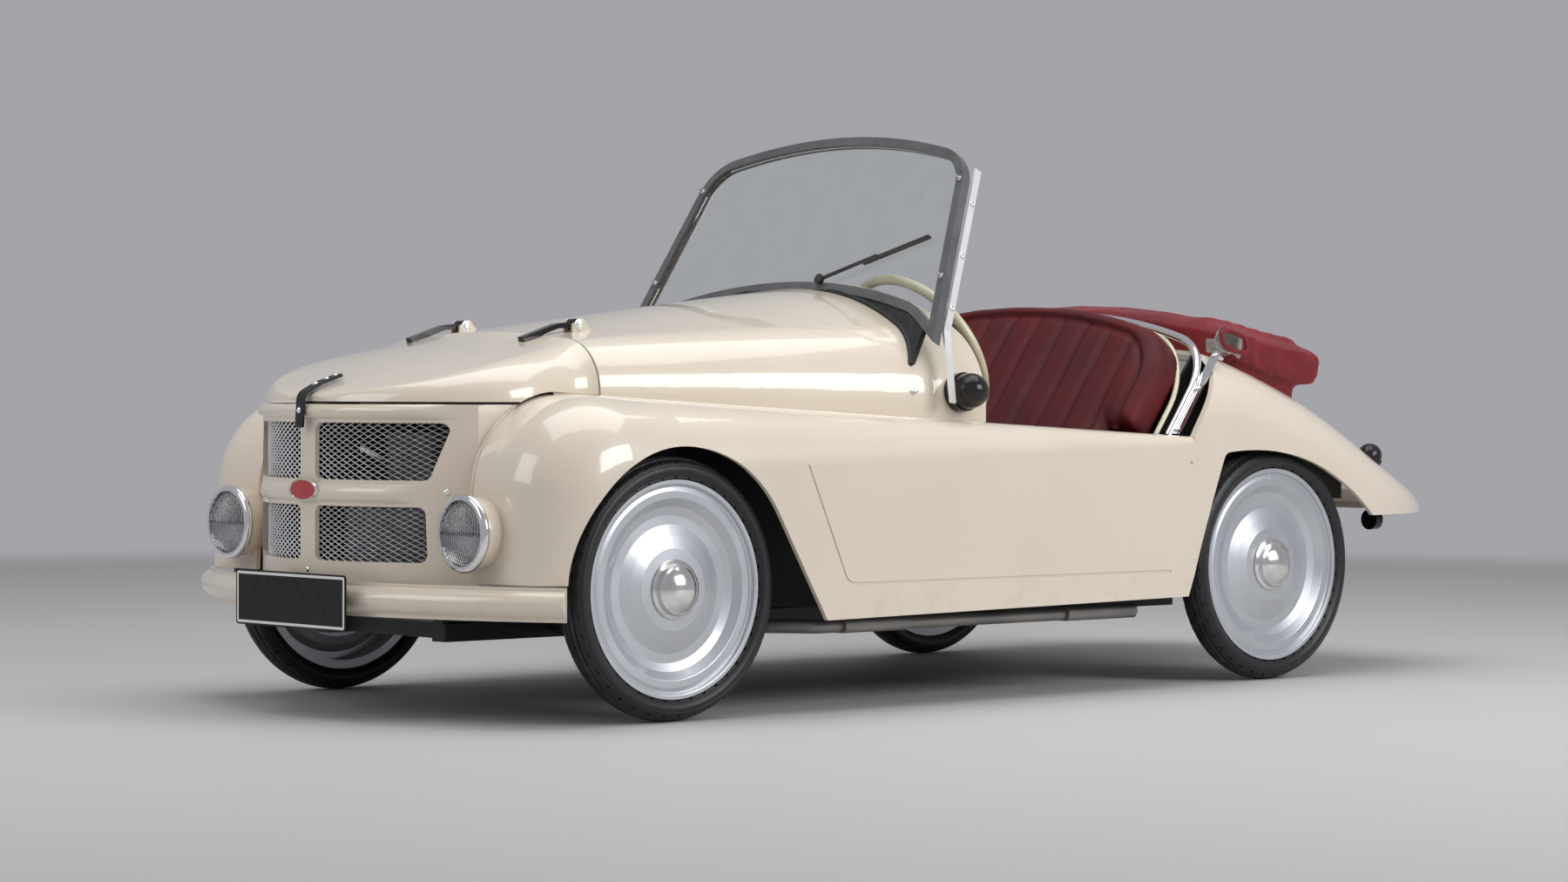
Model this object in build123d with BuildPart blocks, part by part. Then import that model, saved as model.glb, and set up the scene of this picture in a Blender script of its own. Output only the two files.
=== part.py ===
import os
from math import asin, atan2, cos, degrees, radians, sin, sqrt, tan

from build123d import *

os.makedirs("parts", exist_ok=True)

# Doorless two-seat microcar roadster. Millimetres, +X forward, +Y to the car's left, +Z up.
# The origin is on the ground, under the middle of the overall length.
overall_length = 2900.0
body_width = 1180.0
wheelbase = 1700.0
front_axle_x = 958.0
track = 1060.0
tyre_radius = 250.0
tyre_width = 66.0
rim_radius = 207.0
steer_range_deg = 28.0

skin = 10.0            # thickness of a whole body wall
panel_gap = 5.0        # shut line round the bonnet
seat_gap = 0.3         # clearance between pieces that seat on each other
run_gap = 0.06         # radial clearance of a shaft in its bore

half_width = body_width / 2
nose_x = overall_length / 2
tail_x = -overall_length / 2
rear_axle_x = front_axle_x - wheelbase
wheel_y = track / 2
axle_z = tyre_radius


def keep(part, name):
    part.label = name
    export_step(part, f"parts/{name}.step")


def cross_plane(x):
    # Sketch plane across the car at station x, with local axes Y and Z.
    return Plane(origin=(x, 0, 0), x_dir=(0, 1, 0), z_dir=(1, 0, 0))


def side_plane(y):
    # Sketch plane along the car at height-independent offset y, with local axes X and Z.
    return Plane(origin=(0, y, 0), x_dir=(1, 0, 0), z_dir=(0, -1, 0))


def spin_plane(x, y, z, side):
    # Plane through a wheel's axis: local x runs outward along the axle, local y is the radius.
    return Plane(origin=(x, y, z), x_dir=(0, side, 0), z_dir=(side, 0, 0))


def axle_line(x, y, z):
    return Axis((x, y, z), (0, 1, 0))


# Arched sections: vertical sides up to spring_z, corner arcs, then one flat crown arc.
def arch_section(x, width, spring_z, crown_z, corner_radius, base_z, inset=0.0):
    w = width - inset
    r = corner_radius - inset
    top = crown_z - inset
    reach = w - r
    rise = top - spring_z
    crown_radius = (reach**2 + rise**2 - r**2) / (2 * (rise - r))
    crown_centre = top - crown_radius
    lean = atan2(reach, spring_z - crown_centre)
    meet = (crown_radius * sin(lean), crown_centre + crown_radius * cos(lean))
    half = (radians(90) + lean) / 2
    mid = (reach + r * sin(half), spring_z + r * cos(half))
    with BuildSketch(cross_plane(x)) as section:
        with BuildLine():
            Line((-w, base_z), (w, base_z))
            Line((w, base_z), (w, spring_z))
            ThreePointArc((w, spring_z), mid, meet)
            ThreePointArc(meet, (0, top), (-meet[0], meet[1]))
            ThreePointArc((-meet[0], meet[1]), (-mid[0], mid[1]), (-w, spring_z))
            Line((-w, spring_z), (-w, base_z))
        make_face()
    return section.sketch


def arch_solid(table, base_z, inset=0.0, front_shift=0.0, rear_shift=0.0):
    rows = [list(row) for row in table]
    rows[0][0] += front_shift
    rows[-1][0] += rear_shift
    with BuildPart() as solid:
        loft(sections=[arch_section(*row, base_z, inset) for row in rows])
    return solid.part


# Bonnet and cowl sections: station x, half width, spring z, crown z, corner radius.
seam_x = 980.0
cowl_rear_x = 68.0
bonnet_table = [
    (1408.0, 70.0, 590.0, 612.0, 18.0),
    (1380.0, 170.0, 590.0, 628.0, 34.0),
    (1330.0, 258.0, 592.0, 645.0, 46.0),
    (1240.0, 340.0, 597.0, 673.0, 66.0),
    (1100.0, 356.0, 610.0, 709.0, 86.0),
    (seam_x, 358.0, 620.0, 739.0, 104.0),
]
cowl_table = [
    (seam_x, 358.0, 620.0, 739.0, 104.0),
    (560.0, 420.0, 612.0, 793.0, 142.0),
    (cowl_rear_x, 486.0, 592.0, 850.0, 186.0),
]
# Tail sections, in the same columns, from the cockpit's rear to the tail tip.
tail_front_x = -452.0
tail_table = [
    (tail_front_x, half_width, 545.0, 718.0, 150.0),
    (-670.0, half_width, 540.0, 710.0, 150.0),
    (-830.0, 588.0, 490.0, 656.0, 145.0),
    (-1000.0, 575.0, 430.0, 578.0, 130.0),
    (-1160.0, 552.0, 372.0, 492.0, 105.0),
    (-1300.0, 502.0, 346.0, 429.0, 72.0),
    (-1400.0, 420.0, 346.0, 396.0, 44.0),
    (tail_x, 290.0, 346.0, 368.0, 18.0),
]

# Flanks: fender nose, then a straight side whose shoulder tightens towards the rear.
# They are laid out along their own top line, which falls gently to the rear.
flank_inner_y = 345.0
fender_front_x = 1270.0
fender_arc_radius = 190.0
fender_bottom_z = 265.0
shoulder_radius = 140.0
rear_shoulder_radius = 14.0
flank_join = -10.0           # where the fender nose meets the side, along the top line
flank_top_z = 609.0          # top of the flank over the front axle
flank_slope_deg = 3.25
flank_depth = 460.0
sill_front_z = 180.0
sill_rear_z = 192.0
flank_along = Vector(cos(radians(flank_slope_deg)), 0, sin(radians(flank_slope_deg)))
flank_start = Vector(front_axle_x, 0, flank_top_z)


def flank_z(x):
    return flank_top_z + (x - front_axle_x) * tan(radians(flank_slope_deg))


def fender_solid(inset, inner_y):
    outer_y = half_width - inset
    front = (fender_front_x - front_axle_x) / flank_along.X - inset
    plane = Plane(origin=flank_start + Vector(0, outer_y, 0), x_dir=flank_along, z_dir=(0, -1, 0))
    with BuildPart() as fender:
        with BuildSketch(plane) as profile:
            with BuildLine():
                Polyline((front, -flank_depth), (front, -inset), (flank_join, -inset), (flank_join, -flank_depth), close=True)
            make_face()
            fillet(profile.vertices().sort_by(lambda v: v.X + v.Y)[-1], fender_arc_radius - inset)
        extrude(amount=outer_y - inner_y)
        rim = fender.edges().filter_by(lambda e: abs(e.center().Y - outer_y) < 0.01)
        chain = rim.sort_by(lambda e: (e.center() - flank_start).X + (e.center() - flank_start).Z)[1:]
        chain = [e for e in chain if (e.center() - flank_start).dot(flank_along) > flank_join + 1
                 and e.center().Z > flank_top_z - flank_depth + 20]
        fillet(chain, shoulder_radius - inset)
    return fender.part


def flank_section(along, shoulder, inset, inner_y):
    outer_y = half_width - inset
    with BuildSketch(Plane(origin=flank_start + flank_along * along, x_dir=(0, 1, 0), z_dir=flank_along)) as section:
        with BuildLine():
            Polyline((inner_y, -flank_depth), (outer_y, -flank_depth), (outer_y, -inset), (inner_y, -inset), close=True)
        make_face()
        fillet(section.vertices().sort_by(lambda v: v.X + v.Y)[-1], shoulder - inset)
    return section.sketch


def flank_solid(inset, inner_y):
    end = (tail_front_x - 40 - front_axle_x) / flank_along.X
    middle = (flank_join + end) / 2
    spread = (shoulder_radius - rear_shoulder_radius) / 2
    stations = [(flank_join, shoulder_radius), (middle, rear_shoulder_radius + spread), (end, rear_shoulder_radius)]
    with BuildPart() as flank:
        loft(sections=[flank_section(at, r, inset, inner_y) for at, r in stations])
    return flank.part


def side_solid(inset=0.0, inner_y=flank_inner_y, rear_x=tail_front_x):
    with BuildPart() as whole:
        add(flank_solid(inset, inner_y))
        add(fender_solid(inset, inner_y))
        with BuildSketch(side_plane(half_width + 30)):
            with BuildLine():
                low = 30.0 if inset > 0 else 0.0
                Polyline((1400, fender_bottom_z - low), (front_axle_x, fender_bottom_z - low), (front_axle_x, sill_front_z - low),
                         (600, sill_front_z - low), (rear_x, sill_rear_z - low),
                         (rear_x, 700), (tail_front_x - 200, 700), (tail_front_x - 200, 0), (1400, 0), close=True)
            make_face()
        extrude(amount=half_width + 30, mode=Mode.SUBTRACT)
    return whole.part


# Wheel arches, cut through the flank and through the tail.
arch_radius = tyre_radius + 20.0
arch_leave_deg = 149.0
cut_floor_z = 60.0


def front_arch():
    leave = radians(arch_leave_deg)
    start = (front_axle_x + arch_radius, axle_z)
    end = (front_axle_x + arch_radius * cos(leave), axle_z + arch_radius * sin(leave))
    run = (end[1] - cut_floor_z) / -cos(leave)
    foot = (end[0] - run * sin(leave), cut_floor_z)
    with BuildPart() as cutter:
        with BuildSketch(side_plane(half_width + 20)):
            with BuildLine():
                Line((start[0], cut_floor_z), start)
                ThreePointArc(start, (front_axle_x, axle_z + arch_radius), end)
                Line(end, foot)
                Line(foot, (start[0], cut_floor_z))
            make_face()
        extrude(amount=half_width + 20 - 395.0)
    return cutter.part


rear_arch_corner = (-556.0, 493.0)
rear_arch_corner_radius = 20.0
rear_arch_foot_x = -424.0
tail_under_z = 350.0


def rear_cut():
    with BuildPart() as cutter:
        with BuildSketch(side_plane(half_width + 20)) as outline:
            with BuildLine():
                Line((rear_arch_foot_x, sill_rear_z - 25), rear_arch_corner)
                ThreePointArc(rear_arch_corner, (-830.0, 472.0), (-1064.0, tail_under_z))
                Line((-1064.0, tail_under_z), (tail_x - 30, tail_under_z))
                Line((tail_x - 30, tail_under_z), (tail_x - 30, cut_floor_z))
                Line((tail_x - 30, cut_floor_z), (rear_arch_foot_x, cut_floor_z))
                Line((rear_arch_foot_x, cut_floor_z), (rear_arch_foot_x, sill_rear_z - 25))
            make_face()
            near = outline.vertices().sort_by_distance(Vector(*rear_arch_corner))
            fillet(near[0], rear_arch_corner_radius)
        extrude(amount=2 * (half_width + 20))
    return cutter.part


outer_side = side_solid()
inner_side = side_solid(skin, flank_inner_y - 45, tail_front_x - 20)
barrel = arch_solid(cowl_table, 500.0)

# Flank panels, open inside, with the front wheel arch and the swage line.
cockpit_edge_y = 474.0
cockpit_rear_y = 545.0
swage = [(652.0, 482.0), (546.0, 249.0), (-379.0, 247.0)]
with BuildPart() as side_left:
    add(outer_side)
    add(inner_side, mode=Mode.SUBTRACT)
    add(front_arch(), mode=Mode.SUBTRACT)
    add(rear_cut(), mode=Mode.SUBTRACT)
    with BuildSketch(Plane.XY):
        with BuildLine():
            Polyline((fender_front_x + 40, 0), (fender_front_x + 40, flank_inner_y - 60), (seam_x, flank_inner_y - 60),
                     (cowl_rear_x, cockpit_edge_y), (tail_front_x - 10, cockpit_rear_y), (tail_front_x - 10, 0),
                     close=True)
        make_face()
    extrude(amount=800, mode=Mode.SUBTRACT)
    with BuildSketch(side_plane(half_width + 5)):
        with BuildLine() as swage_line:
            FilletPolyline(*swage, radius=28)
        trace(swage_line.line, line_width=5)
    extrude(amount=7.5, mode=Mode.SUBTRACT)
keep(side_left.part, "side_left")

with BuildPart() as side_right:
    mirror(side_left.part, about=Plane.XZ)
keep(side_right.part, "side_right")
both_sides = [outer_side, outer_side.mirror(Plane.XZ)]

# Cowl, standing on the flanks.
with BuildPart() as cowl:
    loft(sections=[arch_section(*row, 530.0) for row in cowl_table])
    loft(sections=[arch_section(row[0] + (4 if i == 0 else -4 if i == len(cowl_table) - 1 else 0), *row[1:], 500.0, skin)
                   for i, row in enumerate(cowl_table)], mode=Mode.SUBTRACT)
    for block in both_sides:
        add(block, mode=Mode.SUBTRACT)
keep(cowl.part, "cowl")

# Bonnet, one pressed shell with shut lines to the cowl, the flanks and the front panel.
bonnet_skin = 8.0
bonnet_lower_z = 602.0
bonnet_outer = arch_solid(bonnet_table, 560.0, 0.0, 0.0, panel_gap)
bonnet_inner = arch_solid(bonnet_table, 540.0, bonnet_skin, -bonnet_skin, -10.0)
grown_side = side_solid(-panel_gap)
with BuildPart() as bonnet:
    add(bonnet_outer)
    add(bonnet_inner, mode=Mode.SUBTRACT)
    with Locations((1200.0, 0, bonnet_lower_z - 100)):
        Box(900, 1000, 200, mode=Mode.SUBTRACT)
    add(grown_side, mode=Mode.SUBTRACT)
    add(grown_side.mirror(Plane.XZ), mode=Mode.SUBTRACT)
keep(bonnet.part, "bonnet")

# Front panel: a bowed wall with four windows, a cross of rounded bars and a rolled top edge.
nose_centre_x = 929.0
nose_radius = 480.0
panel_bottom_z = 240.0
panel_top_z = bonnet_lower_z - panel_gap
panel_side_y = 344.0
panel_rear_x = 1036.0
window_table = [
    # inner y, lower z, upper z, outer y at the lower edge, outer y at the upper edge
    (24.0, 454.0, 562.0, 272.0, 310.0),
    (24.0, 300.0, 404.0, 270.0, 266.0),
]


def nose_x_at(y, radius):
    return nose_centre_x + sqrt(radius**2 - y**2)


def nose_outline(radius, side_y, rear_x):
    corner = (nose_x_at(side_y, radius), side_y)
    with BuildSketch(Plane.XY.offset(panel_bottom_z)) as outline:
        with BuildLine():
            ThreePointArc((corner[0], -corner[1]), (nose_centre_x + radius, 0), corner)
            Polyline(corner, (rear_x, side_y + 12), (rear_x, -side_y - 12), (corner[0], -corner[1]))
        make_face()
    return outline.sketch


def nose_ring(back, edge, front, low_z, high_z, half_deg):
    # A bar with a rounded face, bent round the nose; back, edge and front are radii.
    turn = radians(-half_deg)
    plane = Plane(origin=(nose_centre_x, 0, 0), x_dir=(cos(turn), sin(turn), 0), z_dir=(sin(turn), -cos(turn), 0))
    with BuildPart() as ring:
        with BuildSketch(plane):
            with BuildLine():
                Polyline((edge, low_z), (back, low_z), (back, high_z), (edge, high_z))
                ThreePointArc((edge, high_z), (front, (low_z + high_z) / 2), (edge, low_z))
            make_face()
        revolve(axis=Axis((nose_centre_x, 0, 0), (0, 0, 1)), revolution_arc=2 * half_deg)
    return ring.part


with BuildPart() as front_panel:
    extrude(nose_outline(nose_radius, panel_side_y, panel_rear_x), amount=panel_top_z - panel_bottom_z)
    with BuildSketch(Plane.XY.offset(panel_bottom_z)):
        add(nose_outline(nose_radius - skin, panel_side_y - skin, panel_rear_x - 20))
    extrude(amount=panel_top_z - panel_bottom_z, mode=Mode.SUBTRACT)
    with BuildSketch(cross_plane(1130.0)) as windows:
        for inner_y, low_z, high_z, low_y, high_y in window_table:
            for side in (1, -1):
                with BuildLine():
                    Polyline((side * inner_y, low_z), (side * low_y, low_z), (side * high_y, high_z),
                             (side * inner_y, high_z), close=True)
                make_face()
        fillet(windows.vertices(), 14.0)
    extrude(amount=400, mode=Mode.SUBTRACT)
    add(nose_ring(474, 480.5, 491, 411, 447, 34.0))
    add(nose_ring(474, 482, 491, 570, panel_top_z, 44.0))
    with BuildSketch(Plane.XY.offset(298.0)):
        with BuildLine():
            bar_x = nose_centre_x + nose_radius
            Polyline((bar_x - 1, 20), (bar_x - 8, 20), (bar_x - 8, -20), (bar_x - 1, -20))
            ThreePointArc((bar_x - 1, -20), (bar_x + 11, 0), (bar_x - 1, 20))
        make_face()
    extrude(amount=276)
    for block in both_sides:
        add(block, mode=Mode.SUBTRACT)
keep(front_panel.part, "front_panel")

# Expanded-metal grille, one flat lattice behind each window.
mesh_pitch = (34.0, 18.0)
mesh_hole = (26.0, 12.5)
mesh_thick = 2.0
mesh_radius = nose_radius - skin - 0.4
with BuildPart() as grille_mesh:
    for inner_y, low_z, high_z, low_y, high_y in window_table:
        for side in (1, -1):
            near = Vector(nose_x_at(inner_y - 8, mesh_radius), side * (inner_y - 8), (low_z + high_z) / 2)
            far_y = max(low_y, high_y) + 8
            far = Vector(nose_x_at(far_y, mesh_radius), side * far_y, (low_z + high_z) / 2)
            span = far - near
            along = span.normalized()
            normal = along.cross(Vector(0, 0, 1))
            tall = high_z - low_z + 16
            columns = int((span.length - 20) // mesh_pitch[0])
            rows = int((tall - 14) // mesh_pitch[1])
            with BuildSketch(Plane(origin=(near + far) / 2, x_dir=along, z_dir=normal)) as lattice:
                Rectangle(span.length, tall)
                for shift, across, up in ((0, columns, rows), (1, columns - 1, rows - 1)):
                    with GridLocations(*mesh_pitch, across, up):
                        Polygon((mesh_hole[0] / 2, 0), (0, mesh_hole[1] / 2), (-mesh_hole[0] / 2, 0),
                                (0, -mesh_hole[1] / 2), align=None, mode=Mode.SUBTRACT)
            extrude(amount=-side * mesh_thick)
keep(grille_mesh.part, "grille_mesh")

# Tail with both rear fenders, cut open along the slanted edge behind the seat.
recline = (-0.595, 0.803)
tail_skin = 10.0
tail_outer = arch_solid(tail_table, 170.0)
tail_inner = arch_solid(tail_table, 140.0, tail_skin, 20.0, 14.0)
with BuildPart() as tail:
    add(tail_outer)
    add(tail_inner, mode=Mode.SUBTRACT)
    with BuildSketch(side_plane(half_width + 20)):
        with BuildLine():
            edge_z = flank_z(tail_front_x)
            far = 420.0
            Polyline((tail_front_x, edge_z), (tail_front_x + far * recline[0], edge_z + far * recline[1]),
                     (tail_front_x + 200, edge_z + far * recline[1]), (tail_front_x + 200, edge_z), close=True)
        make_face()
    extrude(amount=2 * (half_width + 20), mode=Mode.SUBTRACT)
    add(rear_cut(), mode=Mode.SUBTRACT)
keep(tail.part, "tail")

# Bumper, bent to a wide arc ahead of the nose.
bumper_radius = 1057.0
bumper_centre_x = 1438.0 - bumper_radius
bumper_half_deg = degrees(asin((half_width) / bumper_radius))
bumper_low_z = 199.0
bumper_high_z = 263.0
bumper_depth = 26.0
bumper_mid_z = (bumper_low_z + bumper_high_z) / 2
with BuildPart() as bumper:
    swing = radians(-bumper_half_deg)
    with BuildSketch(Plane(origin=(bumper_centre_x, 0, 0), x_dir=(cos(swing), sin(swing), 0), z_dir=(sin(swing), -cos(swing), 0))):
        with BuildLine():
            back = bumper_radius - bumper_depth
            lip = bumper_radius - bumper_depth + 7
            Line((back, bumper_low_z), (lip, bumper_low_z))
            Line((lip, bumper_low_z), (lip, bumper_low_z + 7))
            ThreePointArc((lip, bumper_low_z + 7), (bumper_radius, bumper_mid_z), (lip, bumper_high_z - 7))
            Line((lip, bumper_high_z - 7), (lip, bumper_high_z))
            Line((lip, bumper_high_z), (back, bumper_high_z))
            Line((back, bumper_high_z), (back, bumper_low_z))
        make_face()
    revolve(axis=Axis((bumper_centre_x, 0, 0), (0, 0, 1)), revolution_arc=2 * bumper_half_deg)
    with BuildSketch(Plane.XY.offset(bumper_low_z - 5)):
        slot_radius = bumper_radius - bumper_depth / 2
        slot_deg = degrees(asin((half_width - bumper_depth / 2) / slot_radius))
        with BuildLine() as plan_arc:
            CenterArc((bumper_centre_x, 0), slot_radius, -slot_deg, 2 * slot_deg)
        SlotArc(plan_arc.edges()[0], bumper_depth)
    extrude(amount=bumper_high_z - bumper_low_z + 10, mode=Mode.INTERSECT)
keep(bumper.part, "bumper")

# Number plate on two stand-offs in front of the bumper.
plate_size = (360.0, 106.0)
plate_thick = 3.0
plate_z = 224.0
standoff_y = 120.0
with BuildPart() as number_plate:
    with BuildSketch(cross_plane(nose_x - plate_thick)):
        with Locations((0, plate_z)):
            RectangleRounded(*plate_size, 8)
    extrude(amount=plate_thick)
    standoff_x = bumper_centre_x + sqrt(bumper_radius**2 - (standoff_y + 8)**2) + 2
    with BuildSketch(cross_plane(standoff_x)):
        with Locations((standoff_y, bumper_mid_z), (-standoff_y, bumper_mid_z)):
            Circle(7)
    extrude(amount=nose_x - plate_thick - standoff_x)
    with BuildSketch(cross_plane(nose_x - 90)):
        with Locations((standoff_y, bumper_mid_z), (-standoff_y, bumper_mid_z)):
            Circle(7)
    extrude(amount=88 - plate_thick)
    add(bumper.part, mode=Mode.SUBTRACT)
    with Locations((nose_x - 70, 0, plate_z)):
        Box(80, 500, 300, mode=Mode.SUBTRACT)
keep(number_plate.part, "number_plate")

# Headlamps: bowl on the fender's face, rim and domed lens.
lamp_x = 1321.0
lamp_y = 382.0
lamp_z = 359.0
lamp_radius = 74.0
lamp_places = [(lamp_x, side * lamp_y, lamp_z) for side in (1, -1)]


def dome_middle(edge_out, edge_radius, top_out):
    # Middle point of a spherical cap's arc, from its edge to its top on the axis.
    rise = top_out - edge_out
    ball = (edge_radius**2 + rise**2) / (2 * rise)
    half = asin(edge_radius / ball) / 2
    return (top_out - ball * (1 - cos(half)), ball * sin(half))


def turned_forward(place, points, arc_after=None):
    # Solid turned about an axis along X; points are (forward, radius) from the lamp's place.
    plane = Plane(origin=place, x_dir=(1, 0, 0), z_dir=(0, -1, 0))
    with BuildPart() as turned:
        with BuildSketch(plane):
            with BuildLine():
                for index, point in enumerate(points):
                    following = points[(index + 1) % len(points)]
                    if arc_after and index in arc_after:
                        ThreePointArc(point, arc_after[index], following)
                    else:
                        Line(point, following)
            make_face()
        revolve(axis=Axis(place, (1, 0, 0)))
    return turned.part


with BuildPart() as headlamp_bowls:
    for place in lamp_places:
        add(turned_forward(place, [(-80, 0), (-0.3, 0), (-0.3, 68), (-80, 40)], {2: (-45, 62)}))
    for block in both_sides:
        add(block, mode=Mode.SUBTRACT)
    add(front_panel.part, mode=Mode.SUBTRACT)
keep(headlamp_bowls.part, "headlamp_bowls")

with BuildPart() as headlamp_rims:
    for place in lamp_places:
        add(turned_forward(place, [(0, 62), (0, 71), (5, lamp_radius), (15, 67), (15, 62)], {2: (12, 72.5)}))
keep(headlamp_rims.part, "headlamp_rims")

with BuildPart() as headlamp_lenses:
    edge = 62 - seat_gap
    for place in lamp_places:
        add(turned_forward(place, [(2, 0), (2, edge), (11, edge), (24, 0)], {2: dome_middle(11, edge, 24)}))
keep(headlamp_lenses.part, "headlamp_lenses")

# Windscreen: a leaning frame shaped to the cowl, its glass and two side stays.
screen_base = (178.0, 0, 800.0)
screen_up = Vector(-0.4327, 0, 0.9015)
screen_normal = Vector(0.9015, 0, 0.4327)
screen_plane = Plane(origin=screen_base, x_dir=(0, 1, 0), z_dir=screen_normal)
frame_width = 19.0
frame_thick = 22.0
glass_thick = 5.0
screen_foot = (448.0, -90.0)
screen_head = (396.0, 340.0)
screen_top = 399.0
screen_low = 38.0


def screen_outline(shrink):
    with BuildSketch(screen_plane) as outline:
        with BuildLine():
            ThreePointArc((-screen_foot[0], screen_foot[1]), (0, screen_low), screen_foot)
            Line(screen_foot, screen_head)
            ThreePointArc(screen_head, (0, screen_top), (-screen_head[0], screen_head[1]))
            Line((-screen_head[0], screen_head[1]), (-screen_foot[0], screen_foot[1]))
        make_face()
        heads = outline.vertices().group_by(Axis.Y)[-1]
        fillet(heads, 100)
        if shrink:
            offset(amount=-shrink, kind=Kind.INTERSECTION, mode=Mode.REPLACE)
    return outline.sketch


with BuildPart() as windscreen_frame:
    extrude(screen_outline(0), amount=frame_thick / 2, both=True)
    extrude(screen_outline(frame_width), amount=frame_thick, both=True, mode=Mode.SUBTRACT)
    add(barrel, mode=Mode.SUBTRACT)
keep(windscreen_frame.part, "windscreen_frame")

with BuildPart() as windscreen_glass:
    extrude(screen_outline(frame_width + seat_gap), amount=glass_thick / 2, both=True)
keep(windscreen_glass.part, "windscreen_glass")

with BuildPart() as windscreen_stays:
    for side in (1, -1):
        top = Vector(*screen_base) + screen_up * 320 + screen_normal * -22 + Vector(0, side * 402, 0)
        knee = Vector(*screen_base) + screen_up * -40 + screen_normal * -22 + Vector(0, side * 458, 0)
        foot = Vector(190.0, side * 494.0, 600.0)
        with BuildLine() as run:
            FilletPolyline(top, knee, foot, radius=60)
        with BuildSketch(Plane(origin=top, x_dir=(0, 1, 0), z_dir=run.line % 0)):
            Rectangle(5, 18)
        sweep(path=run.line)
    add(barrel, mode=Mode.SUBTRACT)
keep(windscreen_stays.part, "windscreen_stays")

# Wiper on the bottom rail: spindle, arm and blade in front of the glass.
with BuildPart() as wiper:
    spindle = screen_plane.offset(frame_thick / 2 + seat_gap)
    with BuildSketch(spindle):
        with Locations((90, 56)):
            Circle(11)
    extrude(amount=9)
    with BuildSketch(screen_plane.offset(frame_thick / 2 + 2)):
        with BuildLine() as arm_line:
            Line((90, 56), (240, 108))
        trace(arm_line.line, line_width=7)
    extrude(amount=4)
    with BuildSketch(screen_plane.offset(glass_thick / 2 + 1)):
        with BuildLine() as blade_line:
            Line((200, 94), (373, 152))
        trace(blade_line.line, line_width=5)
    extrude(amount=frame_thick / 2 + 2 - glass_thick / 2)
keep(wiper.part, "wiper")

# Dashboard hung under the cowl, with one round instrument ahead of the driver.
dash_x = 96.0
dash_thick = 12.0
dash_low_z = 650.0
driver_y = 178.0
with BuildPart() as dashboard:
    cowl_inner = arch_solid(cowl_table, 500.0, skin + seat_gap, 4.0, -4.0)
    with Locations((dash_x + dash_thick / 2, 0, dash_low_z + 150)):
        Box(dash_thick, 1000, 300)
    add(cowl_inner, mode=Mode.INTERSECT)
    with BuildSketch(cross_plane(dash_x)):
        with Locations((0, 735)):
            Circle(48)
    extrude(amount=-8)
keep(dashboard.part, "dashboard")

# Floor tray with the sloping rear bulkhead.
floor_z = 204.0
floor_thick = 8.0
inner_wall_y = half_width - skin - seat_gap
footwell_y = 330.0
rear_floor_y = 450.0
with BuildPart() as floor_pan:
    with BuildSketch(Plane.XY.offset(floor_z)):
        half_plan = [(870, footwell_y), (660, footwell_y), (590, inner_wall_y), (-428, inner_wall_y),
                     (-428, rear_floor_y), (-600, rear_floor_y)]
        with BuildLine():
            Polyline(*half_plan, *[(x, -y) for x, y in reversed(half_plan)], close=True)
        make_face()
    extrude(amount=floor_thick)
    with BuildSketch(side_plane(rear_floor_y)):
        with BuildLine():
            Polyline((-592, floor_z), (-600, floor_z), (-679, 640), (-671, 640), close=True)
        make_face()
    extrude(amount=2 * rear_floor_y)
    with Locations((866, 0, 385)):
        Box(8, 2 * footwell_y, 370)
keep(floor_pan.part, "floor_pan")

# Walls of the wheel wells, behind the front wheels and beside the rear ones.
well_thick = 8.0
with BuildPart() as wheel_wells:
    for side in (1, -1):
        with BuildSketch(Plane.XY.offset(floor_z + floor_thick)) as plan:
            with BuildLine() as wall_line:
                Polyline((862, side * (footwell_y - 4)), (655, side * (footwell_y - 4)), (594, side * 575))
            trace(wall_line.line, line_width=well_thick)
        extrude(amount=400)
    fits = side_solid(skin + seat_gap, 100.0)
    with BuildPart(mode=Mode.INTERSECT):
        add(fits)
        mirror(fits, about=Plane.XZ)
keep(wheel_wells.part, "wheel_wells")

rear_well_y = 455.0
with BuildPart() as rear_wells:
    for side in (1, -1):
        with BuildSketch(side_plane(side * rear_well_y)):
            with BuildLine():
                Polyline((-432, floor_z + 9), (-596, floor_z + 9), (-650, 385), (-1080, 385), (-1080, 760),
                         (-560, 760), (-432, 540), close=True)
            make_face()
        extrude(amount=-side * well_thick)
        with BuildSketch(side_plane(side * (rear_well_y + well_thick))):
            with BuildLine():
                Polyline((-432, floor_z + 9), (-440, floor_z + 9), (-556, 480), (-548, 480), close=True)
            make_face()
        extrude(amount=-side * (inner_wall_y - rear_well_y - well_thick))
    add(arch_solid(tail_table, 140.0, tail_skin + 1.0, 20.0, 14.0), mode=Mode.INTERSECT)
    with BuildSketch(side_plane(half_width + 20)):
        with BuildLine():
            Polyline((tail_front_x - 4, edge_z), (tail_front_x - 4 + far * recline[0], edge_z + far * recline[1]),
                     (tail_front_x + 200, edge_z + far * recline[1]), (tail_front_x + 200, edge_z), close=True)
        make_face()
    extrude(amount=2 * (half_width + 20), mode=Mode.SUBTRACT)
keep(rear_wells.part, "rear_wells")

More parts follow.
